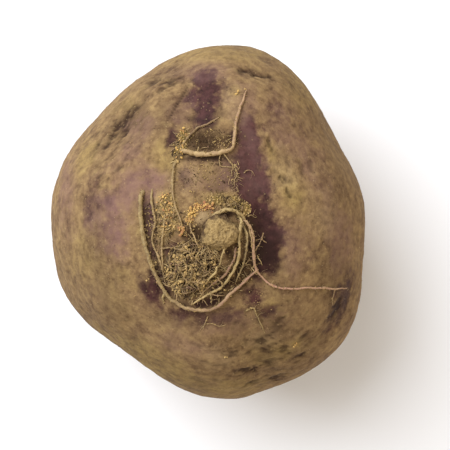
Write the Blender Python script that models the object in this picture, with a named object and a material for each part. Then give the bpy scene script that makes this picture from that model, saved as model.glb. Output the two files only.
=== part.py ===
"""A large beetroot, topped and unwashed, standing on its trimmed crown with the root end up.

One grown piece holds the swollen root, the snapped taproot, the side roots that curl round it
and the cut leaf stalks of the crown. A cake of dried soil is caught among the side roots.
Lengths are in metres, +Z is up, and the origin is the middle of the crown's flat cut."""

import math
import random
from collections import namedtuple

import bmesh
import bpy
from mathutils import Matrix, Vector, noise
from mathutils.bvhtree import BVHTree

MM = 0.001

# Swollen root
MEAN_RADIUS = 56.8 * MM  # at the widest level
WIDEST_LEVEL = 47.0 * MM  # above the crown's cut
ROOT_END_LEVEL = 100.0 * MM  # top of the swollen root, without the taproot
UNDERSIDE_LEVEL = 8.0 * MM  # its lowest skin, which the cut stalks hold clear
ROOT_END_FULLNESS = 2.2  # superellipse exponents: 2 is an ellipse, more is squarer
CROWN_FULLNESS = 2.35
# Lobes of the plan outline: how many go round, share of the radius, direction in degrees
LOBES = (
    (2, 0.051, -77.3),
    (3, 0.045, -49.5),
    (4, 0.020, -1.6),
    (5, 0.008, 8.0),
    (6, 0.009, 22.7),
    (7, 0.0125, 10.8),
)
BODY_SEGMENTS = 60
BODY_RINGS = 40

# Relief of the skin: size of a lump, its height, and where its pattern starts
LUMPS = (
    (34.0 * MM, 1.5 * MM, 3.0),
    (13.0 * MM, 0.55 * MM, 11.0),
    (6.5 * MM, 0.22 * MM, 23.0),
)
SHOULDER_LEVEL = 77.0 * MM  # neck, furrow and hollows fade out from here to the widest level
TAPROOT_PLAN = Vector((3.0 * MM, -2.3 * MM))  # where the taproot stands, seen from above
FURROW_DIRECTION = 106.0  # degrees in plan, the line along which side roots grow
FURROW_DEPTH = 1.6 * MM
FURROW_HALF_WIDTH = 7.5 * MM
FURROW_START = 6.0 * MM  # from the taproot's middle
FURROW_FULL = 21.0 * MM
NECK_RISE = 2.2 * MM
NECK_REACH = 10.0 * MM
# Smooth hollows seen from above: middle x and y, half length, half width, direction, depth
HOLLOWS = (
    (13.5 * MM, 6.0 * MM, 22.0 * MM, 5.5 * MM, 100.0, 1.7 * MM),
    (-4.0 * MM, 36.0 * MM, 14.0 * MM, 8.0 * MM, 100.0, 1.1 * MM),
    (-31.0 * MM, 32.0 * MM, 10.0 * MM, 4.5 * MM, 55.0, 1.3 * MM),
    (13.0 * MM, 49.0 * MM, 6.0 * MM, 2.5 * MM, 165.0, 1.0 * MM),
    (38.0 * MM, -34.0 * MM, 8.0 * MM, 3.0 * MM, 60.0, 1.0 * MM),
)

# Taproot, snapped off short
TAPROOT_RADIUS = 5.1 * MM
TAPROOT_FOOT_RADIUS = 7.2 * MM
TAPROOT_TOP = 105.5 * MM
TAPROOT_DEPTH = 14.0 * MM
TAPROOT_SIDES = 18
TAPROOT_EDGE = 1.6 * MM
TAPROOT_GRAIN = 3.5 * MM
TAPROOT_ROUGHNESS = 0.7 * MM

# Crown: leaf stalks cut off flat at the level of the origin
CROWN_RINGS = (  # number of stalks, distance from the middle, width, thickness, lean in degrees
    (13, 15.5 * MM, 7.0 * MM, 4.8 * MM, 14.0),
    (8, 9.0 * MM, 6.2 * MM, 4.4 * MM, 7.0),
    (1, 0.0 * MM, 8.0 * MM, 8.0 * MM, 0.0),
)
STALK_SIDES = 10
STALK_TOP = 16.0 * MM
STALK_OVERCUT = 3.0 * MM  # below the cut before it is trimmed
STALK_FLARE = 1.12
RING_STAGGER = 0.35  # of a place, from one ring to the next
STALK_SWAY = 0.05  # radians, at most, off its even place in the ring
STALK_SIZES = (0.9, 1.05)  # smallest and largest, as a share of the ring's own
CUTTER_SIDE = 80.0 * MM

# Side roots. A route is seen from above, as x, y and the lift off the skin, in millimetres.
# Diameters are in millimetres too, where the root starts and where it ends.
SideRoot = namedtuple("SideRoot", "name start end route")
SIDE_ROOTS = (
    SideRoot(
        "hoop",
        1.8,
        1.1,
        (
            (-21.0, 12.0, -1.5),
            (-21.5, 9.5, 0.3),
            (-22.0, 3.0, 0.6),
            (-21.5, -3.5, 0.3),
            (-19.5, -10.0, 0.2),
            (-17.0, -16.0, 0.4),
            (-13.0, -22.0, 0.6),
            (-6.5, -25.5, 0.8),
            (0.0, -25.5, 0.8),
            (6.0, -20.5, 0.6),
            (11.0, -16.0, 0.5),
            (13.7, -13.3, 0.6),
        ),
    ),
    SideRoot(
        "trailing",
        1.1,
        0.8,
        (
            (8.0, 1.0, -1.0),
            (9.8, 1.0, 1.4),
            (12.0, -3.5, 1.4),
            (12.3, -8.0, 0.8),
            (13.7, -13.5, 0.5),
            (17.5, -18.0, 0.3),
            (22.0, -19.5, 0.2),
            (30.0, -19.5, 0.3),
            (38.0, -20.0, 0.8),
            (44.0, -20.0, 1.8),
        ),
    ),
    SideRoot(
        "inner",
        1.1,
        0.9,
        (
            (8.5, 3.0, -1.0),
            (9.3, 0.5, 1.6),
            (8.7, -6.0, 1.2),
            (7.0, -12.5, 0.8),
            (2.7, -19.0, 0.4),
            (-1.5, -21.3, 0.3),
            (-6.5, -24.3, 0.3),
        ),
    ),
    SideRoot(
        "collar",
        1.6,
        1.2,
        (
            (-2.5, 0.0, -1.0),
            (-1.8, 2.2, 0.8),
            (0.8, 4.2, 1.8),
            (4.3, 5.0, 2.1),
            (7.6, 3.8, 2.0),
            (9.8, 1.0, 1.3),
        ),
    ),
    SideRoot(
        "upper",
        1.7,
        0.8,
        (
            (-10.5, 23.5, -1.5),
            (-8.0, 22.3, 0.3),
            (-3.0, 21.3, 0.7),
            (2.5, 22.0, 0.8),
            (6.0, 23.5, 0.7),
            (6.8, 27.0, 0.6),
            (7.2, 32.0, 0.4),
            (9.0, 37.5, 0.3),
            (10.5, 42.0, 0.2),
        ),
    ),
    SideRoot(
        "thread",
        0.9,
        0.8,
        (
            (-10.5, 21.5, -1.0),
            (-11.7, 17.5, 0.4),
            (-12.0, 10.5, 0.6),
            (-11.0, 5.5, 0.5),
            (-9.3, 0.5, 0.3),
            (-8.3, -3.0, -0.6),
        ),
    ),
    SideRoot(
        "branch",
        1.1,
        0.8,
        (
            (-11.5, 22.0, -1.0),
            (-8.5, 25.5, 0.4),
            (-5.0, 29.5, 0.4),
            (-1.0, 31.5, 0.3),
            (2.0, 33.5, 0.0),
        ),
    ),
    SideRoot(
        "outer_strand",
        0.8,
        0.8,
        (
            (-18.5, 12.0, -0.8),
            (-18.5, 7.0, 0.3),
            (-17.3, 1.0, 0.4),
            (-18.3, -5.0, 0.3),
            (-16.0, -10.5, 0.3),
            (-14.3, -18.0, 0.0),
        ),
    ),
    SideRoot(
        "inner_strand",
        0.8,
        0.8,
        (
            (-15.0, 5.5, -0.8),
            (-14.5, 1.5, 0.3),
            (-15.2, -4.5, 0.4),
            (-15.2, -10.5, 0.3),
            (-15.0, -14.0, 0.0),
        ),
    ),
    SideRoot(
        "red_link",
        0.9,
        0.8,
        (
            (7.5, -6.0, -1.0),
            (6.3, -10.0, 0.6),
            (4.0, -14.5, 0.5),
            (0.5, -17.5, 0.4),
            (-3.0, -20.5, 0.0),
        ),
    ),
    SideRoot(
        "middle_root",
        0.9,
        0.8,
        (
            (9.0, 1.5, -1.0),
            (10.4, -3.0, 1.2),
            (10.2, -7.5, 0.9),
            (9.2, -12.5, 0.6),
            (7.5, -18.0, 0.3),
        ),
    ),
    SideRoot(
        "lower_fork",
        0.8,
        0.8,
        (
            (9.0, -28.0, -0.6),
            (12.5, -25.7, 0.3),
            (13.8, -28.0, 0.3),
            (16.5, -34.0, 0.0),
        ),
    ),
)
ROOT_BEVEL_LEVEL = 1  # bevel resolution, which gives six sides
CAP_WELD = 0.01 * MM
ROOT_STEP = 1.8 * MM
ROOT_SINK = 0.3  # share of its radius by which a lying root is pressed into the skin
PROBE_LEVEL = 140.0 * MM  # height from which a route is dropped on the skin

# Short rootlets low in the furrow, on both flanks: how many, and their sizes
ROOTLETS_A_FLANK = 5
ROOTLET_POLAR = (1.62, 2.3)  # radians from the root end, so below the widest level
ROOTLET_SPREAD = 0.14  # radians off the furrow's line
ROOTLET_LENGTH = (5.0 * MM, 9.0 * MM)
ROOTLET_SWAY = 0.5  # sideways, as a share of the way down
ROOTLET_FOOT = -1.2 * MM  # its buried start, measured from the skin
ROOTLET_TIP = 0.9 * MM
ROOTLET_DIAMETER = 0.9  # millimetres
ROOTLET_POINTS = 5

# Cake of dried soil among the side roots
SKIN_GAP = 0.3 * MM
CAKE_PLAN = Vector((-6.8 * MM, -13.2 * MM))
CAKE_RADIUS = 7.3 * MM
CAKE_LOBES = ((3, 0.12, 135.0), (5, 0.05, 20.0))
CAKE_THICKNESS = 2.0 * MM
CAKE_SHOULDER = 0.7  # exponent of the thickness towards the edge: 1 is an ellipse, less is squarer
CAKE_LUMP = 2.6 * MM
CAKE_UNEVENNESS = 0.4
CAKE_SEGMENTS = 26
CAKE_RINGS = 10
CRUMBS = 38
CRUMB_RADII = (0.6 * MM, 1.2 * MM)
CRUMB_REACH = 0.82  # share of the cake's radius

SEED = 8

SMOOTH_ANGLE = 50.0  # degrees: edges sharper than this stay sharp
SKIN_COLOUR = (0.165, 0.105, 0.050, 1.0)
SOIL_COLOUR = (0.105, 0.070, 0.034, 1.0)


def clear_scene():
    for found in list(bpy.data.objects):
        bpy.data.objects.remove(found, do_unlink=True)


def new_collection(name):
    made = bpy.data.collections.new(name)
    bpy.context.scene.collection.children.link(made)
    return made


def new_object(name, shape, collection):
    """An object of the bmesh shape, which is freed."""
    mesh = bpy.data.meshes.new(name)
    shape.to_mesh(mesh)
    shape.free()
    made = bpy.data.objects.new(name, mesh)
    collection.objects.link(made)
    return made


def new_material(name, colour, roughness):
    made = bpy.data.materials.new(name)
    made.use_nodes = True
    shader = made.node_tree.nodes["Principled BSDF"]
    shader.inputs["Base Color"].default_value = colour
    shader.inputs["Roughness"].default_value = roughness
    shader.inputs["Metallic"].default_value = 0.0
    return made


def smooth_step(low, high, value):
    share = min(1.0, max(0.0, (value - low) / (high - low)))
    return share * share * (3.0 - 2.0 * share)


def between(low, high, share):
    return low + (high - low) * share


def lobed(angle, lobes):
    """The radius of a lobed outline at an angle, as a share of its mean radius."""
    turned = ((share, count * (angle - math.radians(turn))) for count, share, turn in lobes)
    return 1.0 + sum(share * math.cos(phase) for share, phase in turned)


def along_and_across(offset, degrees):
    """A plan offset, measured along a direction and across it."""
    turn = math.radians(degrees)
    along = offset.x * math.cos(turn) + offset.y * math.sin(turn)
    across = offset.y * math.cos(turn) - offset.x * math.sin(turn)
    return along, across


def relief(point):
    """How far the skin stands out of the smooth form: lumps, neck, furrow and hollows."""
    height = 0.0
    for size, rise, start in LUMPS:
        height += rise * noise.noise(point / size + Vector((start, start, start)))
    on_top = smooth_step(WIDEST_LEVEL, SHOULDER_LEVEL, point.z)
    plan = point.xy
    from_taproot = plan - TAPROOT_PLAN
    height += on_top * NECK_RISE * math.exp(-((from_taproot.length / NECK_REACH) ** 2))
    along, across = along_and_across(from_taproot, FURROW_DIRECTION)
    furrow = math.exp(-((across / FURROW_HALF_WIDTH) ** 2))
    height -= on_top * FURROW_DEPTH * furrow * smooth_step(FURROW_START, FURROW_FULL, abs(along))
    for x, y, half_length, half_width, turn, depth in HOLLOWS:
        along, across = along_and_across(plan - Vector((x, y)), turn)
        reach = (along / half_length) ** 2 + (across / half_width) ** 2
        height -= on_top * depth * math.exp(-reach)
    return height


def skin_point(polar, angle):
    """A point of the swollen root's skin. polar is 0 at the root end and pi at the crown."""
    if polar < math.pi / 2:
        fullness, half_height = ROOT_END_FULLNESS, ROOT_END_LEVEL - WIDEST_LEVEL
    else:
        fullness, half_height = CROWN_FULLNESS, WIDEST_LEVEL - UNDERSIDE_LEVEL
    reach = MEAN_RADIUS * lobed(angle, LOBES) * abs(math.sin(polar)) ** (2.0 / fullness)
    rise = math.copysign(abs(math.cos(polar)) ** (2.0 / fullness), math.cos(polar)) * half_height
    point = Vector((reach * math.cos(angle), reach * math.sin(angle), WIDEST_LEVEL + rise))
    outward = (point - Vector((0.0, 0.0, WIDEST_LEVEL))).normalized()
    return point + outward * relief(point)


def swollen_root(collection):
    """A globe whose rings and segments are moved to the beetroot's own form."""
    shape = bmesh.new()
    bmesh.ops.create_uvsphere(shape, u_segments=BODY_SEGMENTS, v_segments=BODY_RINGS, radius=1.0)
    for vertex in shape.verts:
        polar = math.acos(max(-1.0, min(1.0, vertex.co.z)))
        angle = math.atan2(vertex.co.y, vertex.co.x)
        vertex.co = skin_point(polar, angle)
    return new_object("beetroot", shape, collection)


def skin_tree(body):
    """The skin as a tree that rays can be cast at."""
    shape = bmesh.new()
    shape.from_mesh(body.data)
    tree = BVHTree.FromBMesh(shape)
    shape.free()
    return tree


def drop_on_skin(tree, x, y):
    """The point of the skin below a plan position, and the skin's direction there."""
    point, normal, _, _ = tree.ray_cast(Vector((x, y, PROBE_LEVEL)), Vector((0.0, 0.0, -1.0)))
    return point, normal


def taproot_stub(collection):
    """The snapped taproot: a short cone with a ragged end."""
    shape = bmesh.new()
    bmesh.ops.create_cone(
        shape,
        cap_ends=True,
        segments=TAPROOT_SIDES,
        radius1=TAPROOT_FOOT_RADIUS,
        radius2=TAPROOT_RADIUS,
        depth=TAPROOT_DEPTH,
    )
    rim = [edge for edge in shape.edges if all(v.co.z > 0 for v in edge.verts)]
    bmesh.ops.bevel(
        shape, geom=rim, offset=TAPROOT_EDGE, segments=3, profile=0.5, affect="EDGES"
    )
    middle = Vector((*TAPROOT_PLAN, TAPROOT_TOP - TAPROOT_DEPTH / 2))
    for vertex in shape.verts:
        vertex.co += middle
        vertex.co += noise.noise_vector(vertex.co / TAPROOT_GRAIN) * TAPROOT_ROUGHNESS
    new_object("taproot_stub", shape, collection)


def leaf_stalk(name, middle, turn, lean, sides, collection):
    """One cut leaf stalk: an oval post that leans outwards and flares a little upwards."""
    shape = bmesh.new()
    bmesh.ops.create_cone(
        shape,
        cap_ends=True,
        segments=STALK_SIDES,
        radius1=0.5,
        radius2=0.5 * STALK_FLARE,
        depth=STALK_TOP + STALK_OVERCUT,
    )
    bmesh.ops.scale(shape, verts=shape.verts, vec=(*sides, 1.0))
    leaned = Matrix.Rotation(-math.radians(lean), 4, "Y")
    placed = Matrix.Rotation(turn, 4, "Z") @ Matrix.Translation(middle) @ leaned
    bmesh.ops.transform(shape, verts=shape.verts, matrix=placed)
    new_object(name, shape, collection)


def leaf_stalks(collection):
    draw = random.Random(SEED)
    for ring, (count, distance, width, thickness, lean) in enumerate(CROWN_RINGS):
        for place in range(count):
            turn = math.tau * (place + RING_STAGGER * ring) / count
            turn += draw.uniform(-STALK_SWAY, STALK_SWAY)
            size = draw.uniform(*STALK_SIZES)
            middle = Vector((distance, 0.0, (STALK_TOP - STALK_OVERCUT) / 2))
            sides = (thickness * size, width * size)
            leaf_stalk(f"leaf_stalk_{ring}_{place}", middle, turn, lean, sides, collection)


def smooth_route(route, step):
    """Points about a step apart on a Catmull-Rom curve through the route's own points."""
    points = [Vector(p) for p in route]
    points = [2 * points[0] - points[1], *points, 2 * points[-1] - points[-2]]
    smooth = []
    for before, start, end, after in zip(points, points[1:], points[2:], points[3:]):
        count = max(1, round((end - start).length / step))
        for place in range(count):
            t = place / count
            bend = 2 * before - 5 * start + 4 * end - after
            turn = 3 * start - before - 3 * end + after
            smooth.append(0.5 * (2 * start + (end - before) * t + bend * t**2 + turn * t**3))
    return [*smooth, points[-2]]


def root_tube(name, points, start, end, collection):
    """A tapering six-sided tube along the points, as a mesh. Diameters are in millimetres."""
    line = bpy.data.curves.new(name, "CURVE")
    line.dimensions = "3D"
    line.bevel_depth = MM / 2
    line.bevel_resolution = ROOT_BEVEL_LEVEL
    line.use_fill_caps = True
    spline = line.splines.new("POLY")
    spline.points.add(len(points) - 1)
    for place, point in enumerate(points):
        spline.points[place].co = (*point, 1.0)
        spline.points[place].radius = between(start, end, place / (len(points) - 1))
    drawn = bpy.data.objects.new(name, line)
    collection.objects.link(drawn)
    bpy.context.view_layer.update()
    graph = bpy.context.evaluated_depsgraph_get()
    mesh = bpy.data.meshes.new_from_object(drawn.evaluated_get(graph))
    bpy.data.objects.remove(drawn)
    shape = bmesh.new()
    shape.from_mesh(mesh)
    bmesh.ops.remove_doubles(shape, verts=shape.verts, dist=CAP_WELD)
    bmesh.ops.recalc_face_normals(shape, faces=shape.faces)
    bpy.data.meshes.remove(mesh)
    return new_object(name, shape, collection)


def side_root(root, tree, collection):
    """A side root laid along its route on the skin, pressed in a little and lifted where it says."""
    smooth = smooth_route([[MM * value for value in p] for p in root.route], ROOT_STEP)
    points = []
    for place, (x, y, lift) in enumerate(smooth):
        diameter = MM * between(root.start, root.end, place / (len(smooth) - 1))
        point, normal = drop_on_skin(tree, x, y)
        points.append(point + normal * (lift + diameter / 2 * (1 - ROOT_SINK)))
    root_tube(root.name, points, root.start, root.end, collection)


def furrow_rootlets(collection):
    """Short rootlets along the furrow on both flanks, each out of the skin and then down along it."""
    draw = random.Random(SEED)
    for flank in (0.0, math.pi):
        for place in range(ROOTLETS_A_FLANK):
            polar = between(*ROOTLET_POLAR, (place + draw.random()) / ROOTLETS_A_FLANK)
            angle = math.radians(FURROW_DIRECTION) + flank
            angle += draw.uniform(-ROOTLET_SPREAD, ROOTLET_SPREAD)
            length = draw.uniform(*ROOTLET_LENGTH)
            sway = draw.uniform(-ROOTLET_SWAY, ROOTLET_SWAY)
            points = []
            for step in range(ROOTLET_POINTS):
                share = step / (ROOTLET_POINTS - 1)
                travel = length * share / MEAN_RADIUS
                skin = skin_point(polar + travel, angle + sway * travel)
                outward = (skin - Vector((0.0, 0.0, WIDEST_LEVEL))).normalized()
                lift = between(ROOTLET_FOOT, ROOTLET_TIP, math.sqrt(share))
                points.append(skin + outward * lift)
            name = f"rootlet_{round(flank)}_{place}"
            root_tube(name, points, ROOTLET_DIAMETER, ROOTLET_DIAMETER, collection)


def fuse(body, collection):
    """Joins the collection's objects to the body and removes them."""
    union = body.modifiers.new("fuse", "BOOLEAN")
    union.operation = "UNION"
    union.operand_type = "COLLECTION"
    union.collection = collection
    apply_modifiers(body)
    for found in list(collection.objects):
        bpy.data.objects.remove(found, do_unlink=True)
    bpy.data.collections.remove(collection)


def apply_modifiers(body):
    bpy.context.view_layer.update()
    graph = bpy.context.evaluated_depsgraph_get()
    mesh = bpy.data.meshes.new_from_object(body.evaluated_get(graph))
    body.modifiers.clear()
    body.data = mesh


def trim_crown(body, cutters):
    """Cuts the leaf stalks off flat at the level of the origin."""
    shape = bmesh.new()
    bmesh.ops.create_cube(shape, size=CUTTER_SIDE)
    bmesh.ops.translate(shape, verts=shape.verts, vec=(0.0, 0.0, -CUTTER_SIDE / 2))
    knife = new_object("crown_knife", shape, cutters)
    knife.hide_render = True
    knife.display_type = "WIRE"
    cut = body.modifiers.new("trim", "BOOLEAN")
    cut.operation = "DIFFERENCE"
    cut.object = knife
    apply_modifiers(body)


def soil_cake(tree, collection):
    """A thin lumpy cake of soil that follows the skin, a little clear of it."""
    shape = bmesh.new()
    bmesh.ops.create_uvsphere(shape, u_segments=CAKE_SEGMENTS, v_segments=CAKE_RINGS, radius=1.0)
    for vertex in shape.verts:
        angle = math.atan2(vertex.co.y, vertex.co.x)
        x, y = CAKE_PLAN + vertex.co.xy * CAKE_RADIUS * lobed(angle, CAKE_LOBES)
        point, normal = drop_on_skin(tree, x, y)
        lump = 1.0 + CAKE_UNEVENNESS * noise.noise(point / CAKE_LUMP)
        swell = max(0.0, vertex.co.z) ** CAKE_SHOULDER
        vertex.co = point + normal * (SKIN_GAP + CAKE_THICKNESS * swell * lump)
    return new_object("dried_soil", shape, collection)


def soil_crumbs(tree, collection):
    """Round crumbs that stand out of the cake's upper face."""
    draw = random.Random(SEED)
    for place in range(CRUMBS):
        turn = draw.uniform(0.0, math.tau)
        reach = CRUMB_REACH * math.sqrt(draw.random())
        distance = reach * CAKE_RADIUS * lobed(turn, CAKE_LOBES)
        offset = Vector((distance * math.cos(turn), distance * math.sin(turn)))
        radius = draw.uniform(*CRUMB_RADII)
        point, normal = drop_on_skin(tree, *(CAKE_PLAN + offset))
        shape = bmesh.new()
        bmesh.ops.create_icosphere(shape, subdivisions=1, radius=radius)
        turned = Matrix.Rotation(turn, 4, Vector((1.0, reach, 0.5)))
        bmesh.ops.transform(shape, verts=shape.verts, matrix=turned)
        thickness = CAKE_THICKNESS * math.sqrt(1.0 - reach**2)
        lifted = point + normal * (SKIN_GAP + max(radius, thickness))
        bmesh.ops.translate(shape, verts=shape.verts, vec=lifted)
        new_object(f"crumb_{place}", shape, collection)


def finish(body, material):
    body.data.materials.clear()
    body.data.materials.append(material)
    body.data.shade_smooth()
    body.data.set_sharp_from_angle(angle=math.radians(SMOOTH_ANGLE))


def main():
    clear_scene()
    noise.seed_set(SEED)
    parts = new_collection("beetroot")
    cutters = new_collection("cutters")
    body = swollen_root(parts)
    tree = skin_tree(body)
    grown = new_collection("grown_on")
    taproot_stub(grown)
    leaf_stalks(grown)
    for root in SIDE_ROOTS:
        side_root(root, tree, grown)
    furrow_rootlets(grown)
    fuse(body, grown)
    trim_crown(body, cutters)
    finish(body, new_material("unwashed skin", SKIN_COLOUR, 0.8))
    cake = soil_cake(tree, parts)
    crumbs = new_collection("crumbs")
    soil_crumbs(tree, crumbs)
    fuse(cake, crumbs)
    finish(cake, new_material("dried soil", SOIL_COLOUR, 0.95))


main()
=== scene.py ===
"""The looks of a large unwashed beetroot that stands on its trimmed crown, root end up.

Run as a script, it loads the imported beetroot, builds its fine surface, side roots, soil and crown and
sets it in a plain pale studio. Lengths are in metres, +Z is up."""

import math
import random
from collections import namedtuple
from functools import partial

import bmesh
import bpy
import numpy as np
from mathutils import Matrix, Vector, noise
from mathutils.bvhtree import BVHTree


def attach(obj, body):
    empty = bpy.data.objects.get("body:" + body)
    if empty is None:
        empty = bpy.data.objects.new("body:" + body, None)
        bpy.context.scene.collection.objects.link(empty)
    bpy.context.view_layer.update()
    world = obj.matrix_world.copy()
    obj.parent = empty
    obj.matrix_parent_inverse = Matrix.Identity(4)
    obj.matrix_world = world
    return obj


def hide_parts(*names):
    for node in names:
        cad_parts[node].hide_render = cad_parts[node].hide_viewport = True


bl_info = {
    "name": "Unwashed Beetroot",
    "version": (1, 0, 0),
    "blender": (4, 5, 0),
    "location": "3D View > Sidebar > Beetroot",
    "description": "Builds the fine surface, roots, soil and studio of a packed beetroot",
    "category": "Object",
}

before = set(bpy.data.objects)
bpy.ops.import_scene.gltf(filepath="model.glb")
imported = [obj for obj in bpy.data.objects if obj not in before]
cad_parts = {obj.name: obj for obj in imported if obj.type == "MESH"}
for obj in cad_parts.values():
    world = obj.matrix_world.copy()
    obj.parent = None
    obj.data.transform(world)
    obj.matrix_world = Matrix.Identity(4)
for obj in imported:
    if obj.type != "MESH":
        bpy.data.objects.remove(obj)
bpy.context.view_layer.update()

MM = 0.001
SEED = 8
UP = Vector((0.0, 0.0, 1.0))

# The swollen root's form, as the solid has it
MEAN_RADIUS = 56.8 * MM  # at the widest level
WIDEST_LEVEL = 47.0 * MM
ROOT_END_LEVEL = 100.0 * MM
UNDERSIDE_LEVEL = 8.0 * MM
ROOT_END_FULLNESS = 2.2
CROWN_FULLNESS = 2.35
CORE = UP * WIDEST_LEVEL
# Lobes of the plan outline: how many go round, share of the radius, direction in degrees
LOBES = (
    (2, 0.051, -77.3), (3, 0.045, -49.5), (4, 0.020, -1.6), (5, 0.008, 8.0), (6, 0.009, 22.7),
    (7, 0.0125, 10.8))
# Relief of the skin: size of a lump in millimetres, its height, and where its pattern starts
LUMPS = ((34.0, 1.5 * MM, 3.0), (13.0, 0.55 * MM, 11.0), (6.5, 0.22 * MM, 23.0))
SHOULDER_LEVEL = 77.0 * MM
TAPROOT_PLAN = Vector((3.0 * MM, -2.3 * MM))
FURROW_DIRECTION = 106.0
FURROW_DEPTH = 1.6 * MM
FURROW_HALF_WIDTH = 7.5 * MM
FURROW_START = 6.0 * MM
FURROW_FULL = 21.0 * MM
NECK_RISE = 2.2 * MM
NECK_REACH = 10.0 * MM
# Smooth hollows seen from above: middle x and y, half length, half width, direction, depth
HOLLOWS = (
    (13.5 * MM, 6.0 * MM, 22.0 * MM, 5.5 * MM, 100.0, 1.7 * MM),
    (-4.0 * MM, 36.0 * MM, 14.0 * MM, 8.0 * MM, 100.0, 1.1 * MM),
    (-31.0 * MM, 32.0 * MM, 10.0 * MM, 4.5 * MM, 55.0, 1.3 * MM),
    (13.0 * MM, 49.0 * MM, 6.0 * MM, 2.5 * MM, 165.0, 1.0 * MM),
    (38.0 * MM, -34.0 * MM, 8.0 * MM, 3.0 * MM, 60.0, 1.0 * MM),
)
CROWN_EDGE = (2.35, 2.9)  # polar angles between which the skin turns into the crown's
SKIN_VALUES = ("film", "mauve", "yellow", "grime", "shade", "pale")  # what its material reads

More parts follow.
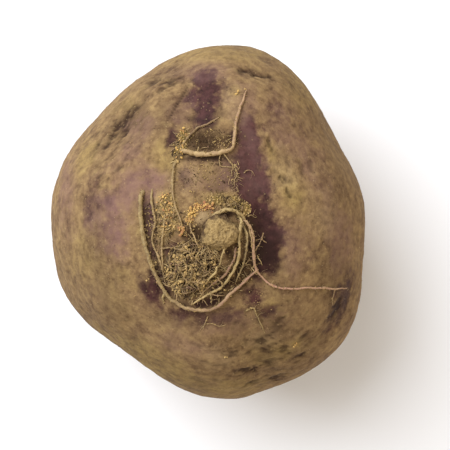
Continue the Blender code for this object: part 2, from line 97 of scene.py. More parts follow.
# Areas of the skin that differ, seen from above: middle, half length and half width in
# millimetres, direction in degrees, and how strongly. bare is rubbed free of silt, mauve is
# purple under a thin bloom of silt, yellow is clay, grime is dark humus and also
# painted shade in narrow gaps beside the side roots, rumpled is dry and shrunken with short
# wrinkles, dent is a small dent with painted shade in it, dark_skin_and_shade is painted shade
# under and beside the side roots and the taproot and in hollows, and partly darker skin, and
# pale has a powder of light silt on top.
PATCHES = {
    "bare": (
        (11.4, 23.4, 9, 4.2, 97, 0.95), (12, 12, 7.5, 5.2, 97, 1.15),
        (14.2, 3.5, 7, 3.9, 96, 1.35), (17.6, -6.6, 6.4, 4.9, 80, 1.35),
        (16.4, -11.8, 4.4, 3.6, 60, 1), (-1.2, 41.4, 5.6, 5.2, 100, 1.1),
        (-2.4, 36.6, 4.6, 3.6, 97, 1), (-4.4, 33, 3.6, 2.2, 60, 0.6),
        (-12.6, 27.8, 3.4, 1.6, 80, 0.8), (6, 27, 3, 1.6, 90, 0.7),
        (-19.4, 2.2, 6.5, 1.9, 92, 0.7), (-18, -9, 4, 1.2, 105, 0.6),
        (-12.4, -8.6, 4, 2.2, 90, 0.7), (-8.7, 14.4, 3.2, 1.9, 95, 0.6),
        (1.5, 11.2, 3.8, 1.6, 0, 0.4), (6.6, 16, 2, 2.6, 0, 0.4), (-17.6, -19.2, 4.6, 3.2, 115, 1),
        (-9, -27.2, 4.4, 2.2, 170, 0.75), (-2.3, -24, 4.2, 1.3, 10, 0.9),
        (2, -18.3, 3, 1.4, 30, 0.8), (2.5, -28.2, 8, 2, 8, 0.6), (12.8, -22.6, 3.2, 3, 0, 0.75),
        (17.3, -27, 2.4, 1.9, 0, 0.5), (41.5, -24, 7.5, 2.8, 75, 0.65),
        (20.7, 36.3, 3, 2.2, 0, 0.3), (-28.6, 11.2, 7, 1.4, 42, 0.42),
        (-19.8, 14, 3.6, 1.2, 95, 0.4), (-38.4, 6.6, 5, 1.4, 78, 0.24),
        (-31, 1.5, 4.4, 1.3, 60, 0.2),
    ),
    "mauve": (
        (-25.4, 10, 8, 6.4, 60, 0.72), (-30, 0.5, 9, 4.6, 95, 0.85), (-36, 3, 8, 3.6, 95, 0.7),
        (-36, -23, 6, 4, 120, 0.15), (-19.2, 13.5, 5, 3.4, 0, 0.8), (-18.6, 1, 5, 1.4, 95, 0.5),
        (-24, 25, 8, 2.8, 52, 0.5), (-23.5, 31, 5, 3.6, 30, 0.5), (-10, 36, 4.5, 3.5, 60, 0.5),
        (22, 31, 9, 4.5, 105, 0.45), (30, 22, 9, 3.5, 105, 0.4), (-2, 15, 7.5, 5, 0, 0.3),
        (11.6, 20, 9, 4.6, 97, 0.4), (4.6, 15.5, 5, 3.4, 90, 0.6), (27, -4, 6, 4, 95, 0.4),
        (10, 38, 6, 4, 90, 0.4), (-47, 8, 12, 3, 92, 0.5), (-2, 49, 9, 3, 0, 0.4),
        (-24, -20, 7, 3.5, 125, 0.15), (4, -30.5, 14, 3.5, 5, 0.3), (24, -8, 9, 3, 95, 0.4),
        (41, -6, 10, 4, 95, 0.5), (35, 12, 12, 3, 100, 0.35), (-8, -38, 9, 3, 160, 0.35),
    ),
    "yellow": (
        (24, 10.9, 6.5, 3.4, 100, 0.7), (7.1, 41.5, 1.8, 1.6, 0, 1),
        (-41.4, 21.8, 6.5, 2.4, 70, 0.6), (-42, -11, 8, 4.4, 95, 0.4),
        (18.5, 21, 5, 1.8, 100, 0.7), (22, 16, 6, 2.8, 100, 0.5), (30, 45, 8, 5, 130, 0.4),
        (28, 0, 6, 2, 95, 0.4), (26.4, -38.3, 1.4, 1.2, 0, 1), (-14.4, 2.5, 7, 3, 92, 0.9),
        (-14, 19, 6, 4, 90, 0.6), (-22.6, 3, 7, 1.2, 92, 0.5), (-1.5, 17, 3, 2, 0, 0.6),
        (3, 8, 7, 2, 0, 0.8), (-28, 40, 4, 2.5, 30, 0.35), (-27, -16, 6, 2.5, 130, 0.5),
        (-20, -45, 16, 5, 152, 0.6), (4, -54, 12, 4, 175, 0.5), (-34, -20, 10, 6, 120, 0.25),
        (17, -25.5, 3.5, 2.5, 60, 0.5), (19.5, -41, 7, 3, 15, 0.5), (0, 57, 16, 4, 0, 0.45),
    ),
    # Dark humus, and painted shade in the narrow gaps beside the side roots and in a fold of the skin
    "grime": (
        (0.6, 26, 6.8, 3.2, 3, 0.85), (-4.6, -14.5, 8.5, 8, 90, 0.9), (4, -3.3, 8, 7.6, 0, 0.8),
        (8, -15, 9.5, 3.6, 55, 0.8), (-20.2, 2, 7, 0.8, 92, 0.6), (-9.6, 24, 5, 2.2, 75, 0.5),
        (15.5, -30, 8, 4.5, 20, 0.35), (-5.6, -2.8, 3.4, 3, 0, 1), (-28.6, 31.4, 8, 3.2, 50, 0.42),
        (-2, 14, 7, 6, 0, 0.25),
    ),
    "rumpled": (
        (13, -42, 17, 9, 8, 1), (24, -36, 8, 5, 35, 0.8), (-28.5, 32, 11, 4.5, 50, 1),
        (-31, 19, 9, 4.5, 60, 0.6), (-14.5, 44.5, 8, 4, 15, 0.9), (13, 49, 8, 3, 170, 0.8),
        (23, 14, 12, 3.4, 105, 0.5), (-36, -14, 9, 5, 110, 0.2), (3, -34, 9, 4, 0, 0.5),
    ),
    "dent": (
        (11.1, -46.6, 3.6, 0.9, 5, 0.9), (15, -36.9, 2, 0.8, 20, 0.8),
        (22.1, -50.7, 2.4, 0.9, 20, 0.8), (22.8, -39.5, 1.7, 1.1, 40, 0.7),
        (28.8, -42.4, 1.2, 1, 0, 0.7), (6, -40.2, 1.8, 0.7, 25, 0.6),
        (18.5, -44.2, 2.2, 0.7, 10, 0.6), (13.5, -52, 2.2, 0.8, 10, 0.6),
        (20.4, -29.8, 1.5, 0.9, 30, 0.6), (23.3, -23.8, 0.9, 1, 0, 0.5),
        (-27.6, 34.6, 3.2, 1, 48, 0.8), (-31.6, 30.4, 3.4, 1.1, 55, 0.9),
        (-33.2, 26.8, 2.2, 0.9, 68, 0.8), (-28, 29.4, 1.8, 0.7, 50, 0.6),
        (-24.6, 37.6, 2.2, 0.8, 35, 0.5), (-35.8, 12.2, 1.3, 1.1, 0, 0.6),
        (-38.4, 3.2, 1.3, 1.2, 0, 0.5), (-34.4, -0.6, 1.2, 1, 0, 0.5), (9.8, 49.4, 2, 0.9, 0, 0.9),
        (16, 47.7, 2.7, 0.9, 170, 1), (17.9, 24.9, 2.8, 0.6, 100, 0.8),
        (23, 10.9, 3.6, 0.7, 115, 0.9), (22.4, 14.2, 1.6, 0.6, 110, 0.7),
        (31, 19, 2.4, 0.7, 105, 0.5), (27.8, 17.4, 2, 0.7, 100, 0.5),
        (-16.8, 43.4, 3.6, 0.7, 28, 0.7), (-13.7, 46.6, 4.2, 0.6, 15, 0.7),
        (-19.6, 46.2, 2.8, 0.6, 25, 0.6), (39.8, -27.2, 3, 1.2, 75, 0.6),
    ),
    # Painted shade along the gaps under and beside the side roots, the collar and the taproot, over
    # hollows and towards the right rim; some of these also darken bare purple skin
    "dark_skin_and_shade": (
        (17.4, -8.8, 6.4, 4.8, 85, 0.9), (15.2, 0, 8, 3.4, 95, 0.55), (13.4, 8, 4, 3.6, 95, 0.16),
        (0.5, 33.5, 3.6, 2, 40, 0.35), (-0.6, 25.6, 6.5, 3, 3, 0.3),
        (-12.6, 27.6, 2.6, 1.2, 80, 0.3), (-19, -18.6, 4.6, 3, 115, 0.3),
        (-30, 32.5, 9, 3.4, 52, 0.3), (-23.4, 33, 5, 5, 0, 0.15), (-22.6, 28, 4.4, 3.2, 50, 0.13),
        (-10, 21.6, 3, 2.6, 0, 0.13), (2.4, 28.4, 2.8, 1.8, 0, 0.3), (-12, 36, 6, 4, 60, 0.12),
        (13, -44, 17, 8, 8, 0.17), (41.4, -22, 9, 3.4, 78, 0.38), (-36.4, -5, 13, 4.4, 93, 0.23),
        (-6.6, 33.6, 1.8, 1.2, 0, 0.55), (-6, -28.6, 13, 3, 5, 0.26), (10, -29, 8, 3, 5, 0.16),
        (-14, -34, 7, 4, 20, 0.07), (-1, 42, 6, 4.6, 98, 0.16), (-14, 48.6, 7, 2.8, 12, 0.18),
        (-16.6, 28.6, 3.4, 3, 0, 0.13), (21.5, 21.5, 3, 2.4, 0, 0.1), (27.4, -3, 3, 3, 0, 0.1),
        (41.8, -16.3, 4, 3, 80, 0.2), (-10.8, -21.4, 3, 1.2, 128, 0.6),
        (-29.6, -16.2, 4, 3, 0, 0.12), (-35.6, -9.6, 3, 3.4, 0, 0.12),
        (18.6, -22.4, 5, 3, 0, 0.11), (35, -29, 4, 3.4, 0, 0.11), (-16, 33, 10, 5, 20, 0.24),
        (37.6, -15.6, 9, 6, 95, 0.24), (22, -20, 6, 4, 150, 0.18), (30, -39, 10, 5, 40, 0.22),
        (-5.6, -2.6, 2.8, 2.6, 0, 0.45), (-16.9, -13.4, 6.6, 1.2, 113, 0.7),
        (-18.9, -3, 7, 0.9, 95, 0.35), (-0.8, 20.4, 6.6, 0.9, 0, 1), (-26, 32.5, 8, 4.4, 45, 0.18),
        (-34, -21.6, 8, 5, 120, 0.24), (40, 5, 16, 5, 92, 0.1), (21, -34.5, 5, 3.4, 0, 0.2),
        (4.6, 3.3, 3, 0.9, 5, 0.85), (7.7, -6.4, 2.8, 0.6, 85, 0.8), (5, -8.3, 1.9, 0.6, 5, 0.8),
        (0.9, -8.1, 1.3, 0.6, 0, 0.8), (-1.8, -24.3, 3.4, 1, 5, 0.75),
        (1.4, -22.8, 3, 1.2, 30, 0.75), (-8.5, -23.6, 1.8, 0.9, 150, 0.5),
        (3.4, 15.5, 5, 3.6, 90, 0.28), (3.4, -18.9, 4.2, 1.3, 32, 0.75),
        (8.4, -14, 4.2, 1.1, 62, 0.7), (5.2, -10, 4, 0.7, 70, 0.3),
    ),
    "pale": (
        (2.5, -42, 5, 3, 0, 0.5), (22, 16.5, 6, 3.4, 100, 0.5), (-8, 15.5, 6, 3.6, 90, 0.3),
        (-15.5, 3, 5, 1.6, 92, 0.6), (34, 3, 6, 4, 95, 0.4), (16, -36, 5, 2.4, 0, 0.3),
        (6, 38, 5, 3, 100, 0.4), (-3.2, 2.6, 2.6, 1.9, 0, 0.9),
    ),
}
# Fine creases seen from above: points in millimetres, half width and depth
CREASES = (
    (((-6.0, 48.5), (-8.1, 43.7), (-11.0, 38.4), (-13.9, 33.0), (-14.8, 30.0)),
     0.45 * MM, 0.55 * MM),
    (((-4.4, -0.8), (-2.4, 0.6), (-0.7, 1.3)), 0.3 * MM, 0.4 * MM),
    (((8.0, -36.5), (15.0, -35.8), (22.0, -32.5)), 0.5 * MM, 0.25 * MM),
)

# Side roots. start and end are diameters in millimetres. red is how red the bark is at its
# start, middle and end. A route is seen from above, as x, y and the lift off the skin, in
# millimetres.
SideRoot = namedtuple("SideRoot", "name start end red route")
SIDE_ROOTS = (
    SideRoot("hoop", 1.4, 0.8, (0, 0, 0.65), (
        (-21.2, 10.8, -1.5), (-21.5, 8.4, 0.3), (-21.5, 3, 0.6), (-20.9, -3.5, 0.3),
        (-19.2, -10, 0.2), (-16.8, -16, 0.4), (-13, -22, 0.6), (-6.5, -25.5, 0.8), (0, -25.5, 0.8),
        (6, -20.5, 0.6), (11, -16, 0.5), (13.7, -13.3, 0.6))),
    SideRoot("trailing", 0.85, 0.5, (0.2, 0.8, 0.5), (
        (8, 1.4, -1), (9.4, 0.8, 1.4), (11.4, -3.5, 1.4), (12, -8, 0.8), (13.2, -13.3, 0.5),
        (17.5, -18, 0.3), (22, -19.5, 0.2), (30, -19.5, 0.3), (38, -20, 0.8), (42.2, -20, 1.2))),
    SideRoot("inner", 0.9, 0.65, (0, 0, 0.05), (
        (8, 3, -1), (8.1, 1, 1.6), (7.6, -3.2, 1.3), (8, -8, 1), (6.6, -12.5, 0.8),
        (2.7, -18.8, 0.4), (-1.5, -21.3, 0.3), (-6.5, -24.3, 0.3))),
    SideRoot("collar", 1.15, 0.85, (0.05, 0, 0), (
        (-1.2, 1.8, -1.2), (1.3, 3.2, 0.6), (3.9, 4.4, 1.5), (6.2, 4, 1.7), (8, 2.7, 1.6),
        (9.3, 1.2, 1.2))),
    SideRoot("upper", 1.6, 0.6, (0.15, 0.25, 0.5), (
        (-10.5, 23.5, -1.5), (-8, 22.3, 0.3), (-3, 21.3, 0.7), (2.5, 22, 0.8), (6, 23.5, 0.7),
        (6.8, 27, 0.6), (7.2, 32, 0.4), (9, 37.5, 0.3), (10.5, 42, 0.2))),
    SideRoot("thread", 0.7, 0.5, (0, 0.1, 0.15), (
        (-10.5, 21.5, -1), (-11.7, 17.5, 0.4), (-12, 10.5, 0.6), (-11, 5.5, 0.5), (-9.3, 0.5, 0.3),
        (-8.3, -3, -0.6))),
    SideRoot("branch", 0.8, 0.45, (0.05, 0.1, 0.2), (
        (-11.5, 22, -1), (-8.5, 25.5, 0.4), (-5, 29.5, 0.4), (-1, 31.5, 0.3), (2, 33.5, 0))),
    SideRoot("outer_strand", 0.7, 0.5, (0, 0.1, 0.1), (
        (-18.5, 12, -0.8), (-18.5, 7, 0.3), (-17.3, 1, 0.4), (-18.3, -5, 0.3), (-16, -10.5, 0.3),
        (-14.3, -18, 0))),
    SideRoot("inner_strand", 0.65, 0.45, (0.1, 0.1, 0.2), (
        (-15, 5.5, -0.8), (-14.5, 1.5, 0.3), (-15.2, -4.5, 0.4), (-15.2, -10.5, 0.3),
        (-15, -14, 0))),
    SideRoot("red_link", 0.8, 0.5, (0.45, 0.5, 0.2), (
        (7.5, -6, -1), (6.3, -10, 0.6), (4, -14.5, 0.5), (0.5, -17.5, 0.4), (-3, -20.5, 0))),
    SideRoot("middle_root", 0.75, 0.45, (0, 0, 0), (
        (8.8, 1.5, -1), (9.7, -2.8, 1.2), (9.8, -7, 0.9), (9, -12.3, 0.6), (7, -17.5, 0.3))),
    SideRoot("lower_fork", 0.45, 0.3, (0, 0, 0), (
        (9, -28, -0.6), (12.5, -25.7, 0.3), (13.8, -28, 0.3), (16.5, -34, 0))),
    SideRoot("short_link", 0.78, 0.55, (0, 0, 0), (
        (1.5, -12, 1.4), (0, -14.8, 1.6), (-1.5, -16.5, 1.2), (-3, -18.5, 0.6))),
    SideRoot("drop", 0.6, 0.4, (0, 0, 0), (
        (3.6, -6.5, 1.5), (3, -8.5, 1.8), (2.5, -10.5, 1.5), (1.8, -12.5, 0.8))),
    SideRoot("bridge", 0.5, 0.35, (0.1, 0.2, 0.1), (
        (10, -0.5, 1.5), (11, -4, 1.5), (11.3, -6.5, 1.2), (12.3, -8, 0.8))),
    SideRoot("twig", 0.45, 0.25, (0.1, 0.2, 0.3), (
        (12.4, -8, 0.6), (13.4, -6.5, 1), (14.5, -4.5, 1.2), (15.6, -2.4, 0.8))),
    SideRoot("twig_side", 0.3, 0.2, (0.2, 0.3, 0.3), (
        (13.2, -4.6, 0.2), (14.5, -4.5, 1.1), (15.6, -5, 0.7), (16.6, -5.6, 0.1))),
    SideRoot("trailing_branch", 0.35, 0.2, (0.2, 0.2, 0.2), (
        (38.1, -20, 0.9), (38.3, -21.8, 0.4), (38, -23.5, 0.2), (38.3, -25.6, 0.1))),
    SideRoot("fork_hair", 0.4, 0.2, (0.1, 0.1, 0.2), (
        (3.4, 21.8, 0.6), (5, 19.8, 0.5), (6.8, 17.4, 0.4), (7.4, 15.6, 0.5), (6.7, 13.6, 0.4),
        (7, 11.6, 0.2))),
    SideRoot("fork_hair_left", 0.35, 0.2, (0.1, 0.1, 0.1), (
        (2.4, 21.8, 0.5), (2.2, 19.6, 0.5), (2.6, 18, 0.5), (4.4, 17.8, 0.4), (6.6, 17.6, 0.3))),
    SideRoot("arc_hair", 0.28, 0.18, (0.3, 0.3, 0.3), (
        (9.6, 16, 0.1), (10.6, 16.9, 0.6), (12, 16.5, 0.6), (13, 15.2, 0.1))),
    SideRoot("side_hair", 0.3, 0.2, (0, 0.1, 0.1), (
        (10.2, 2.4, 1.2), (11.4, 2.9, 1), (12.6, 2.4, 0.6), (13.6, 2.6, 0.2))),
    SideRoot("hoop_spur", 0.7, 0.35, (0, 0, 0), (
        (-14.6, -20.3, 0.6), (-15.2, -22.2, 0.3), (-15, -24, 0))),
    SideRoot("low_pair", 0.3, 0.2, (0.1, 0.1, 0.1), (
        (-1.4, -28.2, 0.2), (-2, -29.8, 0.3), (-2.6, -31.4, 0.2), (-3, -33, 0))),
    SideRoot("low_pair_side", 0.3, 0.2, (0.1, 0.1, 0.1), (
        (-2.2, -30.6, 0.2), (0, -30.4, 0.3), (2.2, -31.4, 0.2), (4.2, -31, 0))),
    SideRoot("neck_strand", 0.5, 0.4, (0.2, 0.2, 0.1), (
        (-6.8, 0.4, 0.2), (-6, -2, 0.9), (-4.7, -4.5, 1.3), (-4.2, -6, 1.2))),
    SideRoot("mat_strand_upper", 0.42, 0.3, (0.1, 0.1, 0.1), (
        (-11.4, -6.8, 1.2), (-7.5, -7.6, 2.2), (-4.3, -9.2, 2.6), (-1.5, -12.5, 1.8))),
    SideRoot("mat_strand_middle", 0.42, 0.3, (0, 0, 0), (
        (-5.7, -12, 2.4), (-6, -15, 2.7), (-7.1, -18.1, 2.1))),
    SideRoot("mat_strand_left", 0.42, 0.3, (0, 0.1, 0.1), (
        (-10.4, -11, 2.1), (-8, -15.8, 2.6), (-4.7, -19.5, 1.5))),
    SideRoot("cross_fibre", 0.38, 0.25, (0.1, 0.1, 0.1), (
        (-15.6, -7, 0.5), (-12, -6.6, 0.9), (-8.4, -5.8, 0.8))),
    SideRoot("lower_cross", 0.38, 0.3, (0, 0, 0), (
        (-0.7, -20.5, 0.8), (-0.6, -22.3, 0.9), (-0.5, -24.2, 0.6))),
    SideRoot("fork_cross", 0.38, 0.3, (0.1, 0.1, 0.1), (
        (1.4, -15.3, 1.4), (2.4, -17, 1.3), (3.3, -18.6, 0.9))),
)
PROBE_LEVEL = 140.0 * MM
# How a side root strays from its route, and how it thickens and thins: sizes of the patterns in
# millimetres, and how far they reach
ROOT_SWAYS = ((4.5, 0.20 * MM), (1.7, 0.14 * MM))
ROOT_KNOTS = ((2.6, 0.30), (1.1, 0.25))
ROOT_SEAT = 0.75  # lift of its middle off the skin, as a share of its radius
TUBE_POINT = 0.6  # length of a tube's pointed end, as a share of its radius
HAIR_CLEARANCE = 0.06 * MM
# Clumps in which crumbs and fibres are paler or darker: size in millimetres, and pattern's start
CLUMPS = (2.3, (3.0, 0.0, 0.0))
THIN_ROOT = 0.8  # millimetres; a root no thicker than this gets fewer faces round it
THIN_SIDES = 6
# How pale the bark of the main side roots is, from 0 to 1; the others' is a matter of chance
PALENESS = {
    "hoop": 0.5, "upper": 0.7, "inner": 0.85, "trailing": 0.7, "collar": 0.7, "branch": 0.3,
    "red_link": 0.3, "short_link": 0.95, "drop": 0.8}

# Taproot, snapped off short
TAPROOT_RADIUS = 5.0 * MM
TAPROOT_FOOT_RADIUS = 7.0 * MM
TAPROOT_TOP = 105.4 * MM
TAPROOT_FOOT = 96.0 * MM

# Crown: number of stalks, distance from the middle, width, thickness, lean in degrees
CROWN_RINGS = (
    (13, 15.5 * MM, 7.0 * MM, 4.8 * MM, 14.0),
    (8, 9.0 * MM, 6.2 * MM, 4.4 * MM, 7.0),
    (1, 0.0 * MM, 8.0 * MM, 8.0 * MM, 0.0),
)
STALK_TOP = 16.0 * MM
STALK_OVERCUT = 3.0 * MM
STALK_FLARE = 1.12
RING_STAGGER = 0.35
STALK_SWAY = 0.05
STALK_SIZES = (0.9, 1.05)

# Cake of dried soil and dead fibres beside the taproot
CAKE_PLAN = Vector((-6.8 * MM, -13.2 * MM))
CAKE_RADIUS = 7.3 * MM
CAKE_LOBES = ((3, 0.12, 135.0), (5, 0.05, 20.0))
CAKE_THICKNESS = 2.0 * MM

# Where crumbs gather: middle, half length and half width in millimetres, direction, share of
# them, how much paler and how much larger they are there
CRUMB_BEDS = (
    (-6.2, -13.5, 9.5, 8.4, 90, 0.4, 0.1, 1), (-14, 3, 7, 3.2, 92, 0.13, 0.25, 0.9),
    (-8.5, 0.5, 4, 3.4, 90, 0.04, 0, 0.8), (4.5, 7, 6.5, 1.8, -8, 0.08, 0.15, 0.9),
    (9.6, 4.6, 2.6, 2, 40, 0.05, 0.4, 0.9), (9, 2.2, 1.2, 0.8, 120, 0.006, 0.9, 1.2),
    (-9.8, 24.5, 5.5, 2.2, 75, 0.08, 0.05, 0.8), (2.5, -2.3, 8.2, 7.4, 0, 0.06, 0, 0.7),
    (8, -16.5, 10, 3.4, 50, 0.05, -0.05, 0.7), (-1, 25.6, 7.5, 3.8, 5, 0.09, -0.25, 0.55),
    (-17.8, -6, 14, 2.4, 96, 0.08, -0.4, 0.8), (14, -24, 6, 5, 30, 0.03, 0, 0.45),
    (-2, 14, 9, 6, 0, 0.1, 0.1, 0.55), (-24.3, -22.1, 0.6, 0.5, 0, 0.0005, 0.9, 1.1),
    (4.2, -41.6, 0.6, 0.5, 0, 0.0007, 0.9, 1.2), (-25.9, 25.9, 0.6, 0.5, 0, 0.0005, 0.8, 1.1),
    (10.4, 42.6, 0.5, 0.5, 0, 0.0007, 1, 1.1), (-19.8, -16.7, 0.7, 0.5, 0, 0.0007, 0.9, 1.1),
)
# Where dead fibres lie: middle, half length and half width in millimetres, direction, share of
# them, and how much longer they are there
FIBRE_BEDS = (
    (-5.6, -13.8, 9.6, 8.4, 90, 0.56, 1), (-13.6, 2.6, 7.5, 3.4, 90, 0.12, 0.7),
    (4.5, 7, 6.5, 1.8, -8, 0.08, 0.7), (-9.8, 24.5, 5.5, 1.8, 75, 0.09, 0.7),
    (-1, 26, 6.4, 3, 5, 0.018, 0.45), (7.5, -15.5, 9.5, 4, 52, 0.05, 0.8),
    (6.8, 13.5, 6.5, 1.5, 86, 0.11, 0.45),
)
# Torn bits of withered leaf: plan place and spread in millimetres, number of them, share of red
SCRAPS = (
    (-6.9, 1.8, 1.2, 36, 0.1), (-6.2, 4, 1.4, 46, 0.1), (-4.6, 5.6, 1.4, 46, 0.25),
    (-2.6, 5.4, 1.2, 34, 0.6), (-0.7, 5.2, 1.2, 28, 0.8), (-9.2, -0.8, 0.9, 10, 0.6),
    (7.2, 41.4, 0.9, 3, -0.3), (-8.4, 28.4, 1.4, 14, 0.25), (-9.4, 25.2, 1.4, 14, 0.1),
    (-10.8, 22, 1.6, 12, 0.1), (-14.4, 7.5, 2.4, 22, 0.3), (-13.2, 4, 2.2, 18, 0.4),
    (-14.6, 0.5, 2.4, 16, 0.2), (-9, -2.2, 1.4, 14, 0.6), (26.4, -38.3, 0.8, 6, 0),
)
# Tufts of dry moss: plan place, radius in millimetres and number of leaves
MOSS = (
    (1.6, 7.8, 1.4, 40), (-8.8, 27.6, 1.8, 60), (-9.8, 23.4, 1.8, 50), (6.6, 6.6, 1.6, 30),
    (-14, 6, 1.8, 14), (9.6, 4.8, 1.6, 40), (8.4, 2.6, 0.8, 14),
)

# How the photograph frames the beetroot: its axis in the picture, and its scale there
PHOTO_SIDE = 450  # pixels
PHOTO_AXIS_X = 212.4  # pixel column of the beetroot's axis
PHOTO_SCALE = 2.85  # pixels to the millimetre at the widest level
CAMERA_HEIGHT = 400.0 * MM  # above the widest level
SENSOR_WIDTH = 36.0  # millimetres

# Settings that several nodes share
TIMES = {"operation": "MULTIPLY"}
TIMES_CLAMPED = {"operation": "MULTIPLY", "use_clamp": True}
TIMES_PLUS = {"operation": "MULTIPLY_ADD"}
PLUS = {"operation": "ADD"}
ABOVE = {"operation": "GREATER_THAN"}
SMOOTH = {"interpolation_type": "SMOOTHSTEP"}
COLOURS = {"data_type": "RGBA"}


def linear(code):
    """An sRGB hex colour as linear red, green and blue."""
    shares = [int(code[place:place + 2], 16) / 255 for place in (1, 3, 5)]
    return [s / 12.92 if s <= 0.04045 else ((s + 0.055) / 1.055) ** 2.4 for s in shares]


def opaque(colour):
    return (*colour, 1.0)


def smooth_step(low, high, value):
    share = min(1.0, max(0.0, (value - low) / (high - low)))
    return share * share * (3.0 - 2.0 * share)


def smooth_steps(low, high, values):
    """smooth_step for an array."""
    share = np.clip((values - low) / (high - low), 0.0, 1.0)
    return share * share * (3.0 - 2.0 * share)


def between(low, high, share):
    return low + (high - low) * share


def skewed(draw, low, high, power):
    """A random value, nearer the low end the higher the power is."""
    return between(low, high, draw.random() ** power)


def turned(angle):
    """A step of one in a direction on the plan."""
    return Vector((math.cos(angle), math.sin(angle), 0.0))


def texture(point, size, start=(0.0, 0.0, 0.0)):
    """Noise between -1 and 1 at a point, with features of a size in millimetres."""
    return noise.noise(point / (size * MM) + Vector(start))


def lobed(angle, lobes):
    """The radius of a lobed outline at an angle, as a share of its mean radius."""
    phases = ((share, count * (angle - math.radians(turn))) for count, share, turn in lobes)
    return 1.0 + sum(share * math.cos(phase) for share, phase in phases)


def along_and_across(x, y, degrees):
    """A plan offset, measured along a direction and across it. x and y may be arrays."""
    turn = math.radians(degrees)
    return x * math.cos(turn) + y * math.sin(turn), y * math.cos(turn) - x * math.sin(turn)


def relief(point):
    """How far the skin stands out of the smooth form: lumps, neck, furrow and hollows."""
    height = 0.0
    for size, rise, start in LUMPS:
        height += rise * texture(point, size, (start, start, start))
    on_top = smooth_step(WIDEST_LEVEL, SHOULDER_LEVEL, point.z)
    if on_top == 0.0:
        return height
    from_taproot = point.xy - TAPROOT_PLAN
    height += on_top * NECK_RISE * math.exp(-((from_taproot.length / NECK_REACH) ** 2))
    along, across = along_and_across(*from_taproot, FURROW_DIRECTION)
    furrow = math.exp(-((across / FURROW_HALF_WIDTH) ** 2))
    height -= on_top * FURROW_DEPTH * furrow * smooth_step(FURROW_START, FURROW_FULL, abs(along))
    for x, y, half_length, half_width, turn, depth in HOLLOWS:
        along, across = along_and_across(point.x - x, point.y - y, turn)
        reach = (along / half_length) ** 2 + (across / half_width) ** 2
        height -= on_top * depth * math.exp(-reach)
    return height


def skin_point(polar, angle):
    """A point of the swollen root's skin. polar is 0 at the root end and pi at the crown."""
    if polar < math.pi / 2:
        fullness, half_height = ROOT_END_FULLNESS, ROOT_END_LEVEL - WIDEST_LEVEL
    else:
        fullness, half_height = CROWN_FULLNESS, WIDEST_LEVEL - UNDERSIDE_LEVEL
    reach = MEAN_RADIUS * lobed(angle, LOBES) * abs(math.sin(polar)) ** (2.0 / fullness)
    rise = math.copysign(abs(math.cos(polar)) ** (2.0 / fullness), math.cos(polar)) * half_height
    point = Vector((reach * math.cos(angle), reach * math.sin(angle), WIDEST_LEVEL + rise))
    return point + (point - CORE).normalized() * relief(point)


def smooth_route(route, step):
    """Points about a step apart on a Catmull-Rom curve through the route's own points."""
    points = [Vector(p) for p in route]
    points = [2 * points[0] - points[1], *points, 2 * points[-1] - points[-2]]
    smooth = []
    for before, start, end, after in zip(points, points[1:], points[2:], points[3:]):
        count = max(1, round((end - start).length / step))
        for place in range(count):
            t = place / count
            bend = 2 * before - 5 * start + 4 * end - after
            turn = 3 * start - before - 3 * end + after
            smooth.append(0.5 * (2 * start + (end - before) * t + bend * t**2 + turn * t**3))
    return [*smooth, points[-2]]


def patch_amount(kind, x, y, warp, outer=1.8, inner=0.3):
    """How strongly each point lies in the patches of a kind. x, y and warp are arrays, in
    millimetres. A patch fades from inner to outer, which are shares of its half size."""
    amount = np.zeros(len(x))
    for middle_x, middle_y, half_length, half_width, turn, strength in PATCHES[kind]:
        along, across = along_and_across(x - middle_x, y - middle_y, turn)
        reach = np.sqrt((along / half_length) ** 2 + (across / half_width) ** 2)
        amount = np.maximum(amount, strength * smooth_steps(outer, inner, reach + warp))
    return amount


def crease_depth(x, y):
    """Depth of the fine creases at plan points, in metres. x and y are arrays, in millimetres."""
    depth = np.zeros(len(x))
    for points, half_width, deepest in CREASES:
        route = smooth_route([(*p, 0.0) for p in points], 1.0)
        for place, point in enumerate(route):
            fade = math.sin(math.pi * (place + 0.5) / len(route))
            distance = np.hypot(x - point.x, y - point.y) * MM
            depth = np.maximum(depth, fade * deepest * np.exp(-((distance / half_width) ** 2)))
    return depth


def cake_height(plan):
    """Thickness of the cake of soil at a plan place, which is 0 outside it."""
    offset = Vector(plan) - CAKE_PLAN
    reach = offset.length / (CAKE_RADIUS * lobed(math.atan2(offset.y, offset.x), CAKE_LOBES))
    return CAKE_THICKNESS * (1.0 - reach**2) ** 0.35 if reach < 1.0 else 0.0


def bed_place(draw, x, y, half_length, half_width, turn, crowding):
    """A random plan place in a bed, in metres. The bed's own values are in millimetres."""
    bearing = draw.uniform(0.0, math.tau)
    reach = draw.random() ** crowding
    along = half_length * reach * math.cos(bearing)
    across = half_width * reach * math.sin(bearing)
    offset_x, offset_y = along_and_across(along, across, -turn)
    return MM * (x + offset_x), MM * (y + offset_y)


def ball(segments, rings):
    """A ball of radius 1, to be worked into a piece."""
    shape = bmesh.new()
    bmesh.ops.create_uvsphere(shape, u_segments=segments, v_segments=rings, radius=1.0)
    return shape


def worked_mesh(name, shape):
    """The mesh that a worked shape becomes."""
    mesh = bpy.data.meshes.new(name)
    shape.to_mesh(mesh)
    shape.free()
    return mesh


def in_scene(name, data):
    made = bpy.data.objects.new(name, data)
    bpy.context.scene.collection.objects.link(made)
    return made


def make_piece(mesh, material, values, slot, *nodes, smooth=True):
    """A piece of the mesh, with values for its material at each vertex. It moves with the
    beetroot and stands for the solid nodes. The slot is not used."""
    for name, each in values.items():
        each = np.array(each, np.float32)
        kind, field = ("FLOAT", "value") if each.ndim == 1 else ("FLOAT_VECTOR", "vector")
        mesh.attributes.new(name, kind, "POINT").data.foreach_set(field, each.ravel())
    mesh.materials.append(material)
    if smooth:
        mesh.shade_smooth()
    mesh.update()
    piece = in_scene(mesh.name, mesh)
    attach(piece, "root")
    if nodes:
        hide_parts(*nodes)
    return piece


